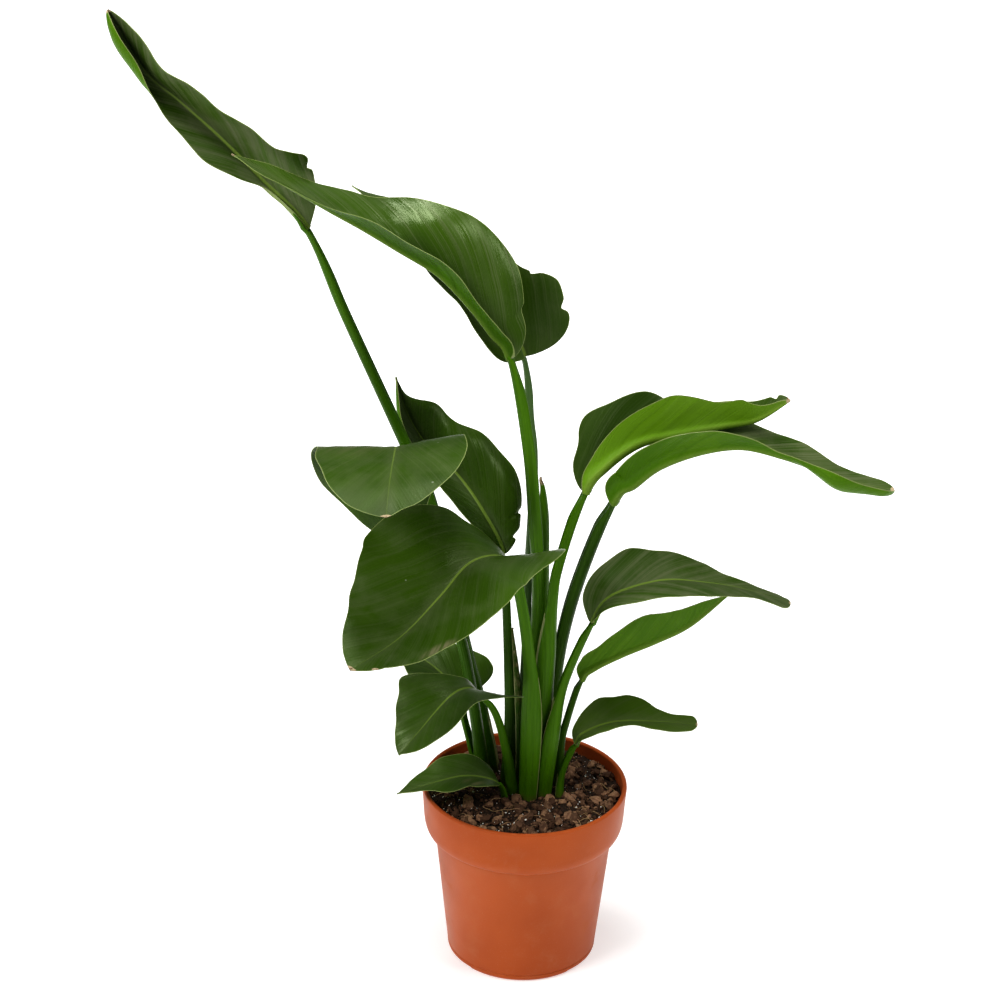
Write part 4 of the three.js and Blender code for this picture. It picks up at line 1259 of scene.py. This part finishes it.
def pot_material(name):
    material, tree, shader = new_material(name)
    body = object_place(tree)
    drift = spread(tree, grain(tree, body, 12.0, 3.0), 0.3, 0.7)
    speck = spread(tree, grain(tree, body, 900.0, 2.0), 0.62, 0.72)
    scratch_place = stretched(tree, body, (420.0, 420.0, 14.0))
    scratch = spread(tree, grain(tree, scratch_place, 1.0, 2.0), 0.66, 0.74)
    low = spread(tree, axes(tree, body)[2], 0.030, 0.0, 0.0, 0.5)
    bloom = times(tree, spread(tree, grain(tree, body, 34.0, 5.0, 0.7), 0.5, 0.75), 0.35)
    colour = mix(tree, drift, TERRACOTTA, TERRACOTTA_DEEP)
    dusty = times(tree, bloom, plus(tree, low, 0.35))
    colour = mix(tree, dusty, colour, POT_DUST)
    colour = mix(tree, times(tree, speck, 0.12), colour, POT_DUST)
    rough = spread(tree, drift, 0.0, 1.0, 0.36, 0.46)
    rough = plus(tree, rough, times(tree, bloom, 0.5))
    height = plus(tree, times(tree, scratch, -0.5), grain(tree, body, 700.0, 2.0))
    fill(tree, shader, {"Base Color": colour, "Roughness": rough, "Specular Tint": PLASTIC_SHINE,
                        "Specular IOR Level": 0.2, "Normal": bumped(tree, height, 0.12, 0.0003)})
    return material


show(pot_mesh, "pot_shell", [pot_material("pot_plastic")], ["pot"])
print("the pot is finished")

# %% [markdown]
# ## The potting mix
# The mix is a solid body with a lumpy top, and on it lie loose bits: flat bark chips, crumbs of
# peat, curved fibres and white perlite. The loose bits make the look, so there are hundreds of
# them, each made of a few faces from one of a few base shapes, turned and tilted at random.

# %% Soil top and material
SOIL_MIDDLE = 147.5
SOIL_EDGE = 145.0
SOIL_RADIUS = RIM_RADIUS - 1.8 - WALL - 0.6
TOP_MARK = 200.0  # a height that no real point has, which marks the top in the outline
# SOIL_DARK is dark peat, made near black to paint in the shade of the gaps between the loose bits
SOIL_DARK = (0.010, 0.006, 0.004, 1)
SOIL_BROWN = (0.080, 0.038, 0.020, 1)
BARK_LIGHT = (0.40, 0.225, 0.130, 1)
FIBRE_TAN = (0.34, 0.22, 0.11, 1)
PERLITE_GREY = (0.45, 0.42, 0.38, 1)
PERLITE_WHITE = (0.85, 0.83, 0.78, 1)


def soil_top(x, y):
    r = math.hypot(x, y) / RIM_RADIUS
    mound = SOIL_MIDDLE + (SOIL_EDGE - SOIL_MIDDLE) * r * r
    return mound + 0.9 * math.sin(0.21 * x + 1) * math.cos(0.26 * y) + 0.5 * math.sin(0.5 * (x - y))


def crumb_material(name, dark, light, scale):
    material, tree, shader = new_material(name)
    clumps = grain(tree, object_place(tree), scale, 4.0, 0.65)
    share = spread(tree, plus(tree, clumps, carried(tree, "tone")), 0.2, 1.1)
    fill(tree, shader, {"Base Color": mix(tree, share, dark, light), "Roughness": 0.85,
                        "Specular IOR Level": 0.3, "Normal": bumped(tree, clumps, 0.6, 0.0012)})
    return material


print("the mix's top is about", round(soil_top(0, 0)), "mm up")

# %% Soil body
soil_profile = [(SOIL_RADIUS * i / 60, TOP_MARK) for i in range(61)]
soil_profile += [(SOIL_RADIUS, SHOULDER + 15), (SOIL_RADIUS - 1.6, SHOULDER + 9),
                 (BODY_TOP_RADIUS + 3.2 - WALL, SHOULDER + 5), (BODY_TOP_RADIUS - WALL - 0.9, SHOULDER + 1),
                 (BASE_RADIUS - WALL - 0.6, 5.7), (PAD_RADIUS + 1.8, 5.7), (PAD_RADIUS, 2.7), (0, 2.7)]
soil_mesh = lathe("mix", soil_profile, 150)
bm = bmesh.new()
bm.from_mesh(soil_mesh)
for vertex in bm.verts:
    if vertex.co.z > (TOP_MARK - 1) * MM:
        x, y = vertex.co.x / MM, vertex.co.y / MM
        lumps = 1.5 * noise.noise((x / 5, y / 5, 1.0)) + 1.2 * noise.noise((x / 2.2, y / 2.2, 4.0))
        vertex.co.z = (soil_top(x, y) - 0.8 + lumps) * MM
bm.to_mesh(soil_mesh)
bm.free()
soil_mesh.shade_smooth()
# the body shows between the loose bits, so its near-black colour is also painted shade in those gaps
show(soil_mesh, "mix", [crumb_material("peat", SOIL_DARK, SOIL_BROWN, 420.0)],
     ["potting_mix"])
print("the mix has", len(soil_mesh.polygons), "faces")

# %% [markdown]
# Random places come from one seeded generator, so the bits fall the same way every time. A bit
# that would land in a stalk is left out, and each one is sunk a little into the mix.

# %% Loose bits
dice = random.Random(11)
FEET = [(leaf["path"][0][0], leaf["path"][0][1], leaf["radii"][0] + 2.5)
        for leaf in [*LEAVES.values(), *SHOOTS.values()]]


def free_place(reach):
    """a place on the mix that is clear of every stalk's foot"""
    while True:
        r = reach * math.sqrt(dice.random())
        a = 2 * math.pi * dice.random()
        x, y = r * math.cos(a), r * math.sin(a)
        if all(math.hypot(x - fx, y - fy) > clear for fx, fy, clear in FEET):
            return x, y


def lump_shape(flatness, rough, cuts):
    """one base shape: a ball of a few faces, knocked out of true and flattened"""
    bm = bmesh.new()
    bmesh.ops.create_icosphere(bm, subdivisions=cuts, radius=0.5)
    for vertex in bm.verts:
        vertex.co += Vector([dice.uniform(-rough, rough) for _ in range(3)])
        vertex.co.z *= flatness
    return finished_mesh(bm, "lump")


def scatter(name, shapes, count, sizes, tilt, sink, tones, reach, material):
    """copies of the base shapes, turned, tilted and sunk into the mix, as one mesh"""
    bm = bmesh.new()
    tone = bm.verts.layers.float.new("tone")
    for _ in range(count):
        x, y = free_place(reach)
        small, large = sizes
        size = small + (large - small) * dice.random() ** 2.2
        shade = dice.uniform(*tones)
        start = len(bm.verts)
        bm.from_mesh(dice.choice(shapes))
        bm.verts.ensure_lookup_table()
        new = bm.verts[start:]
        spin = Matrix.Rotation(dice.uniform(0, 2 * math.pi), 4, "Z")
        lean = Matrix.Rotation(dice.uniform(-tilt, tilt), 4, "X") @ Matrix.Rotation(
            dice.uniform(-tilt, tilt), 4, "Y")
        shape = Matrix.Diagonal((size, size * dice.uniform(0.5, 0.9), size, 1.0))
        rest = Matrix.Translation((x, y, soil_top(x, y) + size * sink))
        for vertex in new:
            vertex[tone] = shade
        bmesh.ops.transform(bm, matrix=Matrix.Scale(MM, 4) @ rest @ spin @ lean @ shape, verts=new)
    return show(finished_mesh(bm, name), name, [material], [])


print("every bit keeps clear of", len(FEET), "feet")

# %% Chips, crumbs and perlite
bark = crumb_material("bark", SOIL_BROWN, BARK_LIGHT, 300.0)
perlite = crumb_material("perlite", PERLITE_GREY, PERLITE_WHITE, 900.0)
chips = [lump_shape(0.55, 0.13, 2) for _ in range(12)]
crumbs = [lump_shape(0.7, 0.12, 1) for _ in range(6)]
LOOSE_BITS = {  # shapes, count, sizes, tilt, sink, tones, reach and material
    "bark_chips": (chips, 480, (3.0, 12.0), 0.9, 0.06, (-0.65, 0.35), 77, bark),
    "peat_crumbs": (crumbs, 1800, (1.0, 3.2), 1.2, 0.2, (-0.85, 0.25), 79, bark),
    "perlite_bits": (crumbs, 320, (0.8, 2.0), 1.2, 0.6, (0.3, 0.9), 77, perlite),
}
loose_faces = 0
for name, numbers in LOOSE_BITS.items():
    loose_faces += len(scatter(name, *numbers).data.polygons)
print("the loose bits have", loose_faces, "faces")

# %% [markdown]
# The fibres are short curved hairs of coir. Each is a few-sided tube along an arc, built from a
# created circle that is extruded and moved step by step.

# %% Fibres
FIBRE_STEPS = 9


def make_fibres(name, count, material):
    bm = bmesh.new()
    tone = bm.verts.layers.float.new("tone")
    for _ in range(count):
        x, y = free_place(74)
        length = dice.uniform(7, 24)
        heading = dice.uniform(0, 2 * math.pi)
        bend = dice.uniform(-2.2, 2.2) / length
        thick = dice.uniform(0.18, 0.42)
        arch = dice.uniform(0.3, 2.5)
        made = bmesh.ops.create_circle(bm, segments=4, radius=thick * MM, cap_ends=True)
        ring = made["verts"]
        bmesh.ops.rotate(bm, verts=ring, cent=(0, 0, 0), matrix=Matrix.Rotation(math.pi / 2, 3, "Y"))
        bmesh.ops.rotate(bm, verts=ring, cent=(0, 0, 0), matrix=Matrix.Rotation(heading, 3, "Z"))
        bmesh.ops.translate(bm, verts=ring, vec=Vector((x, y, soil_top(x, y) + 0.6)) * MM)
        fibre_verts = list(ring)
        face = ring[0].link_faces[0]
        height = soil_top(x, y) + 0.6
        for i in range(FIBRE_STEPS):
            made = bmesh.ops.extrude_face_region(bm, geom=[face])
            ring = [g for g in made["geom"] if isinstance(g, bmesh.types.BMVert)]
            if face.is_valid:
                bmesh.ops.delete(bm, geom=[face], context="FACES_ONLY")
            face = [g for g in made["geom"] if isinstance(g, bmesh.types.BMFace)][0]
            heading += bend * length / FIBRE_STEPS
            x += math.cos(heading) * length / FIBRE_STEPS
            y += math.sin(heading) * length / FIBRE_STEPS
            wanted = soil_top(x, y) + 0.7 + arch * math.sin(math.pi * (i + 1) / FIBRE_STEPS)
            step = Vector((math.cos(heading), math.sin(heading), 0)) * (length / FIBRE_STEPS)
            step.z = wanted - height
            height = wanted
            bmesh.ops.translate(bm, verts=ring, vec=step * MM)
            fibre_verts += ring
        shade = dice.uniform(0.0, 0.8)
        for vertex in fibre_verts:
            vertex[tone] = shade
    bmesh.ops.recalc_face_normals(bm, faces=bm.faces[:])
    return show(finished_mesh(bm, name), name, [material], [])


fibres = make_fibres("coir_fibres", 75, crumb_material("coir", BARK_LIGHT, FIBRE_TAN, 300.0))
print("the fibres have", len(fibres.data.polygons), "faces")
